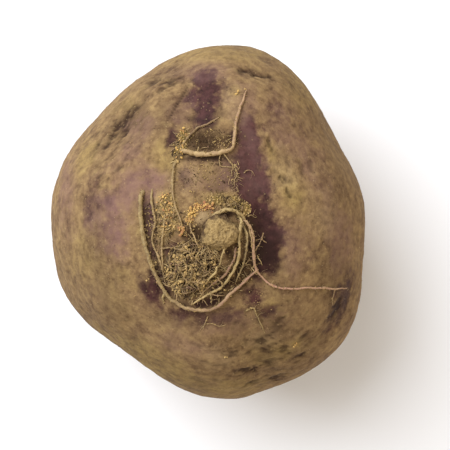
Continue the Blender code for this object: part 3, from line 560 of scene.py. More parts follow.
class Heap:
    """Many small shapes that become one mesh, with values for the material at each vertex."""

    def __init__(self):
        self.vertices, self.faces, self.values = [], [], {}

    def add(self, vertices, faces, **values):
        """Adds a shape. Each value is one number for all of its vertices, or one for each."""
        first = len(self.vertices)
        self.vertices.extend(vertices)
        self.faces.extend([tuple(first + corner for corner in face) for face in faces])
        for name, value in values.items():
            each = [value] * len(vertices) if isinstance(value, (int, float)) else value
            self.values.setdefault(name, []).extend(each)

    def make(self, name, material, slot, *nodes, smooth=True):
        mesh = bpy.data.meshes.new(name)
        mesh.from_pydata(self.vertices, [], self.faces)
        return make_piece(mesh, material, self.values, slot, *nodes, smooth=smooth)


def skin_tree():
    """The finished skin as a tree that rays can be cast at."""
    skin = bpy.data.objects.get("swollen_root")
    if skin is None:
        raise RuntimeError("Make the swollen root first: the other pieces lie on it")
    return BVHTree.FromObject(skin, bpy.context.evaluated_depsgraph_get())


def below(tree, x, y):
    """The skin's point under a plan position, and its direction there."""
    return tree.ray_cast(Vector((x, y, PROBE_LEVEL)), -UP)[:2]


def towards(tree, direction):
    """The skin's point in a direction from the core, and its direction there."""
    return tree.ray_cast(CORE + direction * PROBE_LEVEL, -direction)[:2]


def band(first, sides):
    """Faces between a ring of vertices and the next one."""
    corners = [(first + side, first + (side + 1) % sides) for side in range(sides)]
    return [(start, after, after + sides, start + sides) for start, after in corners]


def tube(points, radii, sides, ridges=0.0, draw=None):
    """Vertices and faces of a closed tube along the points, pointed at both ends."""
    ahead = (points[1] - points[0]).normalized()
    across = ahead.orthogonal().normalized()
    vertices = [points[0] - ahead * radii[0] * TUBE_POINT]
    phase = draw.uniform(0.0, 50.0) if draw else 0.0
    for place, point in enumerate(points):
        if place > 0:
            ahead = (points[min(place + 1, len(points) - 1)] - points[place - 1]).normalized()
        across = (across - ahead * across.dot(ahead)).normalized()
        up = ahead.cross(across)
        for side in range(sides):
            turn = math.tau * side / sides
            reach = radii[place]
            if ridges:
                spot = Vector((phase + math.cos(turn), math.sin(turn), place * 0.3))
                reach *= 1.0 + ridges * noise.noise(spot * 1.9)
            vertices.append(point + (across * math.cos(turn) + up * math.sin(turn)) * reach)
    vertices.append(points[-1] + ahead * radii[-1] * TUBE_POINT)
    faces = [(0, 1 + (side + 1) % sides, 1 + side) for side in range(sides)]
    for ring in range(len(points) - 1):
        faces.extend(band(1 + ring * sides, sides))
    start = 1 + (len(points) - 1) * sides
    last = len(vertices) - 1
    faces.extend([(start + side, start + (side + 1) % sides, last) for side in range(sides)])
    return vertices, faces


def crumb_form():
    """Corners and faces of a ball of twenty triangles, which crumbs are knocked out of."""
    shape = bmesh.new()
    bmesh.ops.create_icosphere(shape, subdivisions=1, radius=1.0)
    corners = [vertex.co.copy() for vertex in shape.verts]
    faces = [tuple(vertex.index for vertex in face.verts) for face in shape.faces]
    shape.free()
    return corners, faces


def crumb(draw, form, middle, upward, radius, flatness):
    """A knocked, uneven crumb that lies with its flat way on the skin."""
    corners, faces = form
    upright = upward.to_track_quat("Z", "Y").to_matrix()
    spin = upright @ Matrix.Rotation(draw.uniform(0, 6.3), 3, "Z")
    sizes = Vector((draw.uniform(0.7, 1.3), draw.uniform(0.7, 1.1), flatness))
    return [
        middle + spin @ (corner * sizes * radius * draw.uniform(0.6, 1.25))
        for corner in corners], faces


def hair_path(draw, tree, x, y, heading, length, lift, steps, curl):
    """Points of a hair that wanders over the skin from a plan place and settles on it."""
    points = []
    for place in range(steps):
        share = place / (steps - 1)
        point, normal = below(tree, x, y)
        if point is None:
            break
        points.append(point + normal * (lift * (1.0 - share) ** 1.3 + HAIR_CLEARANCE))
        heading += draw.uniform(-curl, curl)
        x += math.cos(heading) * length / steps
        y += math.sin(heading) * length / steps
    return points


def random_way(draw, upward, spread):
    """A random direction, with how far it tends upward and how much that varies."""
    return Vector((draw.gauss(0, 1), draw.gauss(0, 1), draw.gauss(upward, spread))).normalized()


def per_metre(size):
    """The scale of a pattern whose features are this many millimetres across."""
    return 1000.0 / size


def plug(node, sockets):
    """Puts values or other nodes' outputs into a node's sockets."""
    for socket, value in sockets.items():
        if isinstance(value, bpy.types.NodeSocket):
            node.id_data.links.new(value, node.inputs[socket])
        else:
            node.inputs[socket].default_value = value


def add_node(tree, kind, settings, sockets, out=0, stops=()):
    """Adds a node of a kind, with its settings and with what goes into its sockets, and gives
    one of its outputs. stops are the places and colours of a colour ramp."""
    made = tree.nodes.new("ShaderNode" + kind)
    for name, value in settings.items():
        setattr(made, name, value)
    plug(made, sockets)
    for number, (place, colour) in enumerate(stops):
        elements = made.color_ramp.elements
        stop = elements[number] if number < 2 else elements.new(place)
        stop.position = place
        stop.color = opaque(colour)
    return made.outputs[out]


def new_material(name, roughness):
    """A material, its shader, and what adds a node to it."""
    made = bpy.data.materials.new(name)
    made.use_nodes = True
    shader = made.node_tree.nodes["Principled BSDF"]
    shader.inputs["Roughness"].default_value = roughness
    return made, shader, partial(add_node, made.node_tree)


def flecked_material(name, roughness, fleck, contrast, bump, depth, detail=4.0):
    """The start of every dry fibrous or crumbly material. Flecks of a size in millimetres stand
    out of it and vary its tone, and tint is each piece's own shade from dark to pale."""
    made, shader, node = new_material(name, roughness)
    where = node("TexCoord", {}, {}, "Object")
    tint = node("Attribute", {"attribute_name": "tint"}, {}, "Fac")
    flecks = node("TexNoise", {}, {
        "Vector": where, "Scale": per_metre(fleck), "Detail": detail, "Roughness": 0.7})
    tone = node("Math", TIMES_PLUS, {0: flecks, 1: contrast, 2: -contrast / 2})
    tone = node("Math", PLUS, {0: tone, 1: tint})
    standing = node("Bump", {}, {"Strength": bump, "Distance": depth, "Height": flecks})
    plug(shader, {"Normal": standing})
    return made, shader, node, flecks, tone


def skin_material(look):
    """Beetroot skin as lifted from the bed: smooth dark purple cork under a film of dry silt.

    The silt is matt and mottled olive-brown. Where it has rubbed off, the skin shows dark, with a
    faint waxy gloss. Where it is thin, the purple shows through as a mauve bloom."""
    made, shader, node = new_material("unwashed_beetroot_skin", 0.8)
    where = node("TexCoord", {}, {}, "Object")
    rings = node("Attribute", {"attribute_name": "rings"}, {}, "Vector")
    film, mauve, yellow, grime, shade, pale = (
        node("Attribute", {"attribute_name": name}, {}, "Fac") for name in SKIN_VALUES)

    # Patterns: blotches of 7 mm and 2.2 mm, silt grit of 0.7 mm, and streaks that run round the
    # root. Each row has its coordinates, size in millimetres, detail and roughness.
    squeezed = node("VectorMath", TIMES, {0: rings, 1: (1.0, 1.0, 3.2)})
    blotch, mottle, grit, streak = (
        node("TexNoise", {}, {
            "Vector": at, "Scale": per_metre(size), "Detail": detail, "Roughness": rough})
        for at, size, detail, rough in (
            (where, 7.0, 6.0, 0.62), (where, 2.2, 5.0, 0.65), (where, 0.7, 3.0, 0.6),
            (squeezed, 6.0, 4.0, 0.65)))

    # Where silt lies: the film's own amount, broken up at its edges by the patterns
    edge = film
    for pattern, weight in ((blotch, 0.9), (mottle, 0.75), (grit, 0.5), (streak, 0.3)):
        edge = node("Math", TIMES_PLUS, {0: pattern, 1: weight, 2: edge})
    cover = node("MapRange", SMOOTH, {"Value": edge, "From Min": 1.08, "From Max": 2.16})

    bare = node("ValToRGB", {}, {"Fac": mottle}, stops=(
        (0.30, look.bare_dark), (0.70, look.bare_light)))
    dust = node("MapRange", SMOOTH, {
        "Value": grit, "From Min": 0.58, "From Max": 0.76, "To Max": 0.22})
    bare = node("Mix", COLOURS, {0: dust, 6: bare, 7: opaque(look.silt_middle)}, 2)
    tone = node("Math", TIMES_PLUS, {0: mottle, 1: 0.6, 2: 0.04})
    tone = node("Math", TIMES_PLUS, {0: streak, 1: 0.25, 2: tone})
    silt = node("ValToRGB", {}, {"Fac": tone}, stops=(
        (0.32, look.silt_dark), (0.64, look.silt_light), (0.47, look.silt_middle)))
    clay = node("Math", TIMES, {0: yellow, 1: mottle})
    clay = node("Math", TIMES_CLAMPED, {0: clay, 1: 1.35})
    silt = node("Mix", COLOURS, {0: clay, 6: silt, 7: opaque(look.clay)}, 2)
    thin = node("MapRange", {}, {
        "Value": blotch, "From Min": 0.35, "From Max": 0.62, "To Min": 0.70})
    opacity = node("Math", TIMES, {0: cover, 1: thin})
    colour = node("Mix", COLOURS, {0: opacity, 6: bare, 7: silt}, 2)

    bloom = node("MapRange", SMOOTH, {
        "Value": blotch, "From Min": 0.34, "From Max": 0.60, "To Min": 0.3})
    bloom = node("Math", TIMES, {0: bloom, 1: mauve})
    # Humus colour over the grime, which also paints the shade in the gaps beside the side roots
    humus = node("Math", TIMES_PLUS, {0: mottle, 1: 1.6, 2: grime})
    humus = node("MapRange", SMOOTH, {
        "Value": humus, "From Min": 0.95, "From Max": 1.65, "To Max": 0.92})
    powder = node("Math", TIMES, {0: pale, 1: mottle})

    # Specks of 0.5 mm, dark and pale, and painted shade on the floor of every dent, fold,
    # crease and wrinkle hollow and in the patches of painted shade
    apart = node("TexVoronoi", {}, {
        "Vector": where, "Scale": per_metre(1.2), "Randomness": 1.0}, "Distance")
    dot = node("MapRange", SMOOTH, {
        "Value": apart, "From Min": 0.14, "From Max": 0.30, "To Min": 1.0, "To Max": 0.0})
    pick = node("SeparateColor", {}, {0: apart.node.outputs["Color"]}).node.outputs
    dark_speck_and_shade = node("Math", TIMES, {0: dot, 1: node("Math", ABOVE, {0: pick[0], 1: 0.72})})
    pale_dot = node("Math", TIMES, {0: dot, 1: node("Math", ABOVE, {0: pick[1], 1: 0.80})})
    dark_speck_and_shade = node("Math", TIMES_PLUS, {0: dark_speck_and_shade, 1: 0.28, 2: shade})
    dark_speck_and_shade = node("Clamp", {}, {"Value": dark_speck_and_shade, "Max": 0.85})
    pale_dot = node("Math", TIMES, {0: pale_dot, 1: 0.2})
    for amount, coat in (
            (bloom, look.bloom), (humus, look.humus), (powder, linear("#bfa47a")),
            (dark_speck_and_shade, linear("#24130f")), (pale_dot, linear("#bfa373"))):
        colour = node("Mix", COLOURS, {0: amount, 6: colour, 7: opaque(coat)}, 2)

    # Heights in millimetres: edge of the silt film, its grit, the streaks and the blotches
    height = node("Math", TIMES, {0: cover, 1: 0.10})
    gritty = node("Math", TIMES, {0: cover, 1: grit})
    for pattern, rise in ((gritty, 0.34), (streak, 0.30), (mottle, 0.25)):
        height = node("Math", TIMES_PLUS, {0: pattern, 1: rise, 2: height})
    plug(shader, {
        "Base Color": colour,
        "Roughness": node("MapRange", {}, {"Value": cover, "To Min": 0.68, "To Max": 0.95}),
        "Specular IOR Level": 0.15,
        "Normal": node("Bump", {}, {"Strength": 0.5, "Distance": MM, "Height": height}),
    })
    return made


def bark_material(name, look, fleck, roughness):
    """Dry root bark and dead fibres: thin wrinkled cork, tan where silt clings. red is how fresh
    and red the bark is."""
    made, shader, node, flecks, tone = flecked_material(
        name, roughness, fleck, 1.5, 0.8, 0.25 * MM)
    red = node("Attribute", {"attribute_name": "red"}, {}, "Fac")
    bark = node("ValToRGB", {}, {"Fac": tone}, stops=(
        (0.0, look.bark_dark), (1.0, look.bark_light)))
    fresh = node("MapRange", {}, {
        "Value": flecks, "From Min": 0.3, "From Max": 0.7, "To Min": 1.25, "To Max": 0.6})
    fresh = node("Math", TIMES_CLAMPED, {0: fresh, 1: red})
    plug(shader, {"Base Color": node(
        "Mix", COLOURS, {0: fresh, 6: bark, 7: opaque(look.bark_red)}, 2)})
    return made


def soil_material(name, dark, light, fleck, roughness):
    """Dry garden soil and what is as matt: crumbs of clay and humus, each with its own shade."""
    made, shader, node, _, tone = flecked_material(name, roughness, fleck, 0.8, 0.9, 0.3 * MM)
    colour = node("ValToRGB", {}, {"Fac": tone}, stops=((0.0, dark), (1.0, light)))
    plug(shader, {"Base Color": colour})
    return made


def stalk_material():
    """Beetroot leaf stalks, cut with a knife and dried: fleshy ribs gone dull red-brown, and a
    pale fibrous face. cut is 1 on the face."""
    made, shader, node, _, tone = flecked_material(
        "dried_cut_leaf_stalk", 0.7, 1.6, 0.8, 0.8, 0.4 * MM, 5.0)
    cut = node("Attribute", {"attribute_name": "cut"}, {}, "Fac")
    flank = node("ValToRGB", {}, {"Fac": tone}, stops=(
        (0.1, linear("#4a2630")), (0.9, linear("#8d6a4c")), (0.5, linear("#6a4038"))))
    pith = node("ValToRGB", {}, {"Fac": tone}, stops=(
        (0.1, linear("#6b4638")), (0.9, linear("#b89a72"))))
    plug(shader, {"Base Color": node("Mix", COLOURS, {0: cut, 6: flank, 7: pith}, 2)})
    return made


def floor_material(look):
    """Matt white card, seamless, with a barely visible unevenness."""
    made, shader, node = new_material("matt_white_card", 0.9)
    where = node("TexCoord", {}, {}, "Object")
    cloud = node("TexNoise", {}, {"Vector": where, "Scale": per_metre(140.0), "Detail": 2.0})
    colour = node("ValToRGB", {}, {"Fac": cloud}, stops=(
        (0.0, [share * 0.985 for share in look.floor]), (1.0, look.floor)))
    plug(shader, {"Base Color": colour})
    return made


def count_setting(name, description, default, least, most):
    return bpy.props.IntProperty(
        name=name, description=description, default=default, min=least, max=most)


def amount_setting(name, description, default, most, unit="NONE"):
    return bpy.props.FloatProperty(
        name=name, description=description, default=default, min=0.0, max=most, unit=unit)


def length_setting(name, description, default, least, most):
    """A length, given in millimetres."""
    return bpy.props.FloatProperty(
        name=name, description=description, default=default * MM, min=least * MM, max=most * MM,
        subtype="DISTANCE", unit="LENGTH")


def colour_setting(name, description, code):
    return bpy.props.FloatVectorProperty(
        name=name, description=description, default=linear(code), size=3, min=0.0, max=1.0,
        subtype="COLOR")


class BeetSkinSettings(bpy.types.PropertyGroup):
    """Form and finish of the swollen root's skin."""

    segments: count_setting("Segments", "Faces round the root", 420, 60, 480)
    rings: count_setting("Rings", "Faces from the root end to the crown", 225, 40, 240)
    wrinkle: length_setting(
        "Wrinkle height", "Height of the wrinkles that run round the root", 0.30, 0.0, 2)
    silt: length_setting("Silt thickness", "Thickness of the film of dry silt", 0.22, 0.0, 2)
    bare_dark: colour_setting(
        "Bare skin, dark", "Dark purple of the skin without silt", "#27120f")
    bare_light: colour_setting(
        "Bare skin, light", "Lighter purple of the skin without silt", "#563432")
    bloom: colour_setting("Mauve bloom", "Purple seen through a thin bloom of silt", "#7b5c56")
    silt_dark: colour_setting("Silt, dark", "Darkest dry silt", "#6e563b")
    silt_middle: colour_setting("Silt, middle", "Common colour of the dry silt", "#8b714e")
    silt_light: colour_setting("Silt, light", "Palest dry silt", "#a48b5e")
    clay: colour_setting("Clay", "Yellow clay smears", "#a18a50")
    # This colour also paints the shade in the gaps beside the side roots
    humus: colour_setting("Humus", "Dark grime among the side roots", "#46341f")


class BeetRootSettings(bpy.types.PropertyGroup):
    """Form and finish of the side roots, the hairs and the snapped taproot."""

    sides: count_setting("Sides", "Faces round a side root", 10, 4, 24)
    step: length_setting("Step", "Length of a face along a side root", 0.5, 0.1, 5)
    hair_spacing: length_setting(
        "Hair spacing", "Mean distance between fine hairs along a side root", 1.6, 0.2, 20)
    crust: amount_setting(
        "Crust", "Crumbs stuck to the side roots, for a millimetre of length and radius",
        16.0, 40.0)
    bark_dark: colour_setting("Bark, dark", "Dark root bark", "#5b462d")
    bark_light: colour_setting("Bark, light", "Pale root bark", "#b39b68")
    bark_red: colour_setting("Bark, red", "Root bark that is still red", "#ae8070")


class BeetSoilSettings(bpy.types.PropertyGroup):
    """Amounts and colours of soil, fibres, scraps and moss."""

    fibres: count_setting("Fibres", "Dead fibres in the mat beside the taproot", 640, 0, 3000)
    crumbs: count_setting("Crumbs", "Crumbs of soil among the side roots", 4400, 0, 6000)
    grains: count_setting("Grains", "Grains of soil stuck to the skin", 4500, 0, 8000)
    soil_dark: colour_setting("Soil, dark", "Dark soil", "#3c2913")
    soil_light: colour_setting("Soil, light", "Pale soil", "#b89a62")


class BeetStageSettings(bpy.types.PropertyGroup):
    """Floor and light."""

    floor: colour_setting("Floor", "Colour of the plain floor", "#f0f2f6")
    key_power: amount_setting("Key light", "Power of the softbox", 32.0, 200.0, "POWER")
    fill_power: amount_setting("Fill light", "Power of the fill light", 6.5, 200.0, "POWER")
    sky: amount_setting(
        "Surrounding light", "Strength of the even light from all round", 0.44, 10.0)


class BEET_OT_swollen_root(bpy.types.Operator):
    """Builds the swollen root with its lumps, wrinkles, dents and film of silt"""

    bl_idname = "beet.swollen_root"
    bl_label = "Swollen Root"

    def execute(self, context):
        look = context.scene.beet_skin
        shape = ball(look.segments, look.rings)
        polar = np.array([math.acos(max(-1.0, min(1.0, v.co.z))) for v in shape.verts])
        # Rings lie closer together at the root end, where the finest detail is
        polar = math.pi * (polar / math.pi) ** 1.25
        angle = np.array([math.atan2(v.co.y, v.co.x) for v in shape.verts])
        points = np.array([skin_point(p, a) for p, a in zip(polar, angle)])
        plan = points[:, 0] / MM, points[:, 1] / MM
        on_top = smooth_steps(WIDEST_LEVEL, WIDEST_LEVEL + 12 * MM, points[:, 2])
        low = 1.0 - on_top
        rings = MEAN_RADIUS * np.stack([np.cos(angle), np.sin(angle), polar], axis=1)

        def pattern(size, start, stretch=1.0, source=points):
            """Noise between -1 and 1 at each point, with features of a size in millimetres."""
            scaled = source * np.array((1.0, 1.0, stretch)) * per_metre(size) + start
            return np.array([noise.noise(Vector(p)) for p in scaled])

        warp = 0.60 * pattern(5.0, 40.0) + 0.45 * pattern(1.9, 50.0)
        ragged = 1.1 * pattern(2.6, 45.0) + 0.9 * pattern(1.1, 55.0)
        bare, mauve, yellow, grime, rumpled, dark_skin_and_shade, pale = (
            on_top * patch_amount(kind, *plan, warp)
            for kind in ("bare", "mauve", "yellow", "grime", "rumpled", "dark_skin_and_shade", "pale"))
        dents = on_top * patch_amount("dent", *plan, ragged, 1.5, 0.4)
        creases = on_top * crease_depth(*plan)

        # Low down and on the back, the patches are a matter of chance. Each row has a kind's
        # amounts, its pattern, where the pattern starts to show and shows in full, and how much.
        rubbed = pattern(24.0, 60.0, 1.8, rings) + 0.6 * pattern(9.0, 70.0, 1.8, rings)
        bare, mauve, yellow, rumpled = (
            np.maximum(amount, low * most * smooth_steps(faint, full, chance))
            for amount, chance, faint, full, most in (
                (bare, rubbed, 0.1, 0.7, 0.9), (mauve, pattern(18.0, 80.0), 0.08, 0.6, 0.7),
                (yellow, pattern(20.0, 90.0), 0.08, 0.65, 0.6),
                (rumpled, pattern(24.0, 95.0), 0.1, 0.45, 1.0)))
        crown = smooth_steps(*CROWN_EDGE, polar)

        film = 0.86 + 0.25 * pattern(16.0, 100.0) - 1.15 * bare - 0.15 * mauve
        wrinkles = pattern(6.5, 110.0, 3.0, rings)
        fine_wrinkles = pattern(3.4, 120.0, 2.6, rings)
        strength = 0.24 + 0.24 * smooth_steps(-0.2, 0.4, pattern(22.0, 130.0))
        strength = strength + 1.0 * rumpled + 1.2 * crown
        lumps = pattern(2.8, 140.0)
        clods = pattern(1.3, 150.0)
        silt = np.clip(film, 0.0, 1.0)
        height = look.wrinkle * strength * (0.7 * wrinkles + 0.4 * fine_wrinkles)
        height *= 0.35 + 0.65 * silt
        height += look.silt * silt * (0.5 + 0.38 * lumps + 0.42 * clods)
        height += 0.05 * MM * lumps
        # Short folds where the skin has shrunk, broken off wherever a second pattern is low
        fold = 1.0 - np.abs(pattern(6.0, 160.0, 2.2, rings)) / 0.11
        folds = rumpled * np.clip(fold, 0.0, 1.0) * smooth_steps(-0.05, 0.2, pattern(5.0, 170.0))
        height -= 0.5 * MM * dents + 0.3 * MM * folds + creases
        outward = points - np.array(CORE)
        outward /= np.linalg.norm(outward, axis=1)[:, None]
        for vertex, place in zip(shape.verts, points + outward * height[:, None]):
            vertex.co = place

        # Painted shade: the colour darkens in the dents, folds and creases, in the hollows of the
        # wrinkles, and in the patches of painted shade and darker skin
        cavity = np.clip(
            -(0.8 * wrinkles + 0.5 * fine_wrinkles) * strength - 0.10, 0.0, 1.0)
        shade = 0.75 * dents + 0.45 * folds + creases / (0.6 * MM) + 0.8 * cavity + dark_skin_and_shade
        shade = np.clip(shade, 0.0, 0.85)
        values = dict(zip(SKIN_VALUES, (film, mauve, yellow, grime, shade, pale)), rings=rings)
        mesh = worked_mesh("swollen_root", shape)
        make_piece(mesh, skin_material(look), values, "skin", "beetroot")
        return {"FINISHED"}


class BEET_OT_taproot(bpy.types.Operator):
    """Builds the snapped taproot with its rough corky end"""

    bl_idname = "beet.taproot"
    bl_label = "Snapped Taproot"

    segments = 190
    rings = 120
    breadth = 1.14
    aside = Vector((-1.1 * MM, 0.2 * MM))
    crack_width = 0.12

    def execute(self, context):
        shape = ball(self.segments, self.rings)
        tints = []
        for vertex in shape.verts:
            side = vertex.co.copy()
            angle = math.atan2(side.y, side.x)
            level = (1.0 + side.z) / 2
            # A squat block: full in the middle, its rim rounded, its foot flaring into the neck
            spread = (1.0 - abs(side.z) ** 4.0) ** 0.4
            radius = between(TAPROOT_FOOT_RADIUS, TAPROOT_RADIUS, smooth_step(0.0, 0.8, level))
            radius *= spread
            radius *= 1.0 + 0.07 * math.cos(3 * angle + 0.8) + 0.04 * math.cos(5 * angle)
            height = between(TAPROOT_FOOT, TAPROOT_TOP, level)
            middle = Vector((*(TAPROOT_PLAN + self.aside * level), height))
            edge = Vector((math.cos(angle) * self.breadth, math.sin(angle), 0.0))
            place = middle + edge * radius
            outward = Vector((side.x, side.y, side.z * 1.2)).normalized()
            coarse = texture(place, 3.6, (5.0, 0.0, 0.0))
            middling = texture(place, 1.5, (0.0, 9.0, 0.0))
            fine = texture(place, 0.55)
            # Cracks where the broken cork has dried apart
            crack = smooth_step(self.crack_width, 0.0, abs(texture(place, 2.6, (0.0, 0.0, 4.0))))
            rise = 0.70 * coarse + 0.45 * middling + 0.28 * fine - 0.15 * crack
            vertex.co = place + outward * rise * MM
            # The tint holds painted light and shade: darker in the cracks and on the -x and +y sides,
            # paler towards +x and -y and where the cork stands out
            rim = smooth_step(0.55, 1.0, side.z)
            shaded = 0.45 * smooth_step(0.55, 0.95, -side.x)
            shaded += 0.5 * smooth_step(0.5, 0.95, side.y)
            lit = 0.3 * smooth_step(0.3, 0.95, 0.55 * side.x - 0.8 * side.y)
            tint = 0.36 + 0.30 * rim + 0.45 * middling + 0.25 * fine - 0.15 * crack
            tints.append(tint - shaded + lit)
        cork = soil_material("corky_broken_root", linear("#4a351c"), linear("#aa8f5c"), 0.9, 0.9)
        mesh = worked_mesh("snapped_taproot", shape)
        make_piece(mesh, cork, {"tint": tints}, "skin", "beetroot")
        return {"FINISHED"}


def root_line(root, tree, step):
    """Centre points, radii and redness along a side root that lies on the skin."""
    smooth = smooth_route([[MM * value for value in p] for p in root.route], step)
    points, radii, reds = [], [], []
    for place, (x, y, lift) in enumerate(smooth):
        share = place / (len(smooth) - 1)
        radius = MM * between(root.start, root.end, share) / 2
        point, normal = below(tree, x, y)
        sways = [noise.noise_vector(point / (size * MM)) * far for size, far in ROOT_SWAYS]
        points.append(point + normal * (lift + radius * ROOT_SEAT) + sum(sways, Vector()))
        knot = 1.0 + sum(swell * texture(point, size) for size, swell in ROOT_KNOTS)
        radii.append(radius * knot * (1.0 - 0.45 * smooth_step(0.9, 1.0, share)))
        half, along = (0, share * 2) if share < 0.5 else (1, share * 2 - 1)
        reds.append(between(root.red[half], root.red[half + 1], along))
    return points, radii, reds


class BEET_OT_side_roots(bpy.types.Operator):
    """Lays the side roots round the taproot and over the skin"""

    bl_idname = "beet.side_roots"
    bl_label = "Side Roots"

    ridges = 0.5
    crumb_sizes = (0.10 * MM, 0.36 * MM, 2)
    paleness = (0.4, 0.75)

    def execute(self, context):
        look, soil = context.scene.beet_roots, context.scene.beet_soil
        tree = skin_tree()
        draw = random.Random(SEED)
        heap, crust, form = Heap(), Heap(), crumb_form()
        for root in SIDE_ROOTS:
            step = look.step * min(1.0, max(0.5, root.start))
            points, radii, reds = root_line(root, tree, step)
            sides = look.sides if root.start > THIN_ROOT else THIN_SIDES
            vertices, faces = tube(points, radii, sides, self.ridges, draw)
            for point, radius in zip(points, radii):
                for _ in range(round(radius / MM * look.crust * step / MM)):
                    way = random_way(draw, 0.1, 0.7)
                    slide = Vector((draw.uniform(-0.5, 0.5), draw.uniform(-0.5, 0.5), 0.0))
                    size = skewed(draw, *self.crumb_sizes)
                    middle = point + slide * step + way * radius
                    crust.add(
                        *crumb(draw, form, middle, way, size, 0.7),
                        tint=draw.triangular(0.1, 0.95, 0.55))
            each_red = [reds[0]] + [red for red in reds for _ in range(sides)] + [reds[-1]]
            own = PALENESS.get(root.name, draw.uniform(*self.paleness))
            tints = [own + 0.25 * texture(v, 3.0) for v in vertices]
            heap.add(vertices, faces, red=each_red, tint=tints)
        bark = bark_material("dry_root_bark", look, 0.9, 0.78)
        heap.make("side_roots", bark, "skin", "beetroot")
        stuck = soil_material(
            "soil_crust_on_roots", soil.soil_dark, soil.soil_light, 0.7, 0.95)
        crust.make("root_crust", stuck, "soil", smooth=False)
        return {"FINISHED"}


class BEET_OT_root_hairs(bpy.types.Operator):
    """Grows fine hairs from the side roots"""

    bl_idname = "beet.root_hairs"
    bl_label = "Root Hairs"

    steps = 9
    at_a_place = (0, 0, 1, 1, 2)  # how many hairs grow there, each number as likely
    aside = (0.5, 1.5)  # angle to the side root
    lengths = (0.8 * MM, 3.6 * MM)
    radii = (0.035 * MM, 0.075 * MM)
    curl = 0.4

    def execute(self, context):
        look = context.scene.beet_roots
        tree = skin_tree()
        draw = random.Random(SEED + 1)
        heap = Heap()
        for root in SIDE_ROOTS:
            points = root_line(root, tree, look.hair_spacing)[0]
            for place, point in enumerate(points[1:-1], 1):
                for _ in range(draw.choice(self.at_a_place)):
                    ahead = points[place + 1] - points[place]
                    heading = math.atan2(ahead.y, ahead.x)
                    heading += draw.choice((-1, 1)) * draw.uniform(*self.aside)
                    length = draw.uniform(*self.lengths)
                    lift = max(0.0, point.z - below(tree, point.x, point.y)[0].z)
                    path = hair_path(
                        draw, tree, point.x, point.y, heading, length, lift, self.steps,
                        self.curl)
                    thick = draw.uniform(*self.radii)
                    last = self.steps - 1
                    radii = [thick * (1.0 - 0.5 * step / last) for step in range(len(path))]
                    heap.add(
                        *tube(path, radii, 4), tint=draw.uniform(0.35, 1.0),
                        red=draw.uniform(0.0, 0.25))
        heap.make("root_hairs", bark_material("fine_root_hair", look, 1.5, 0.75), "skin")
        return {"FINISHED"}


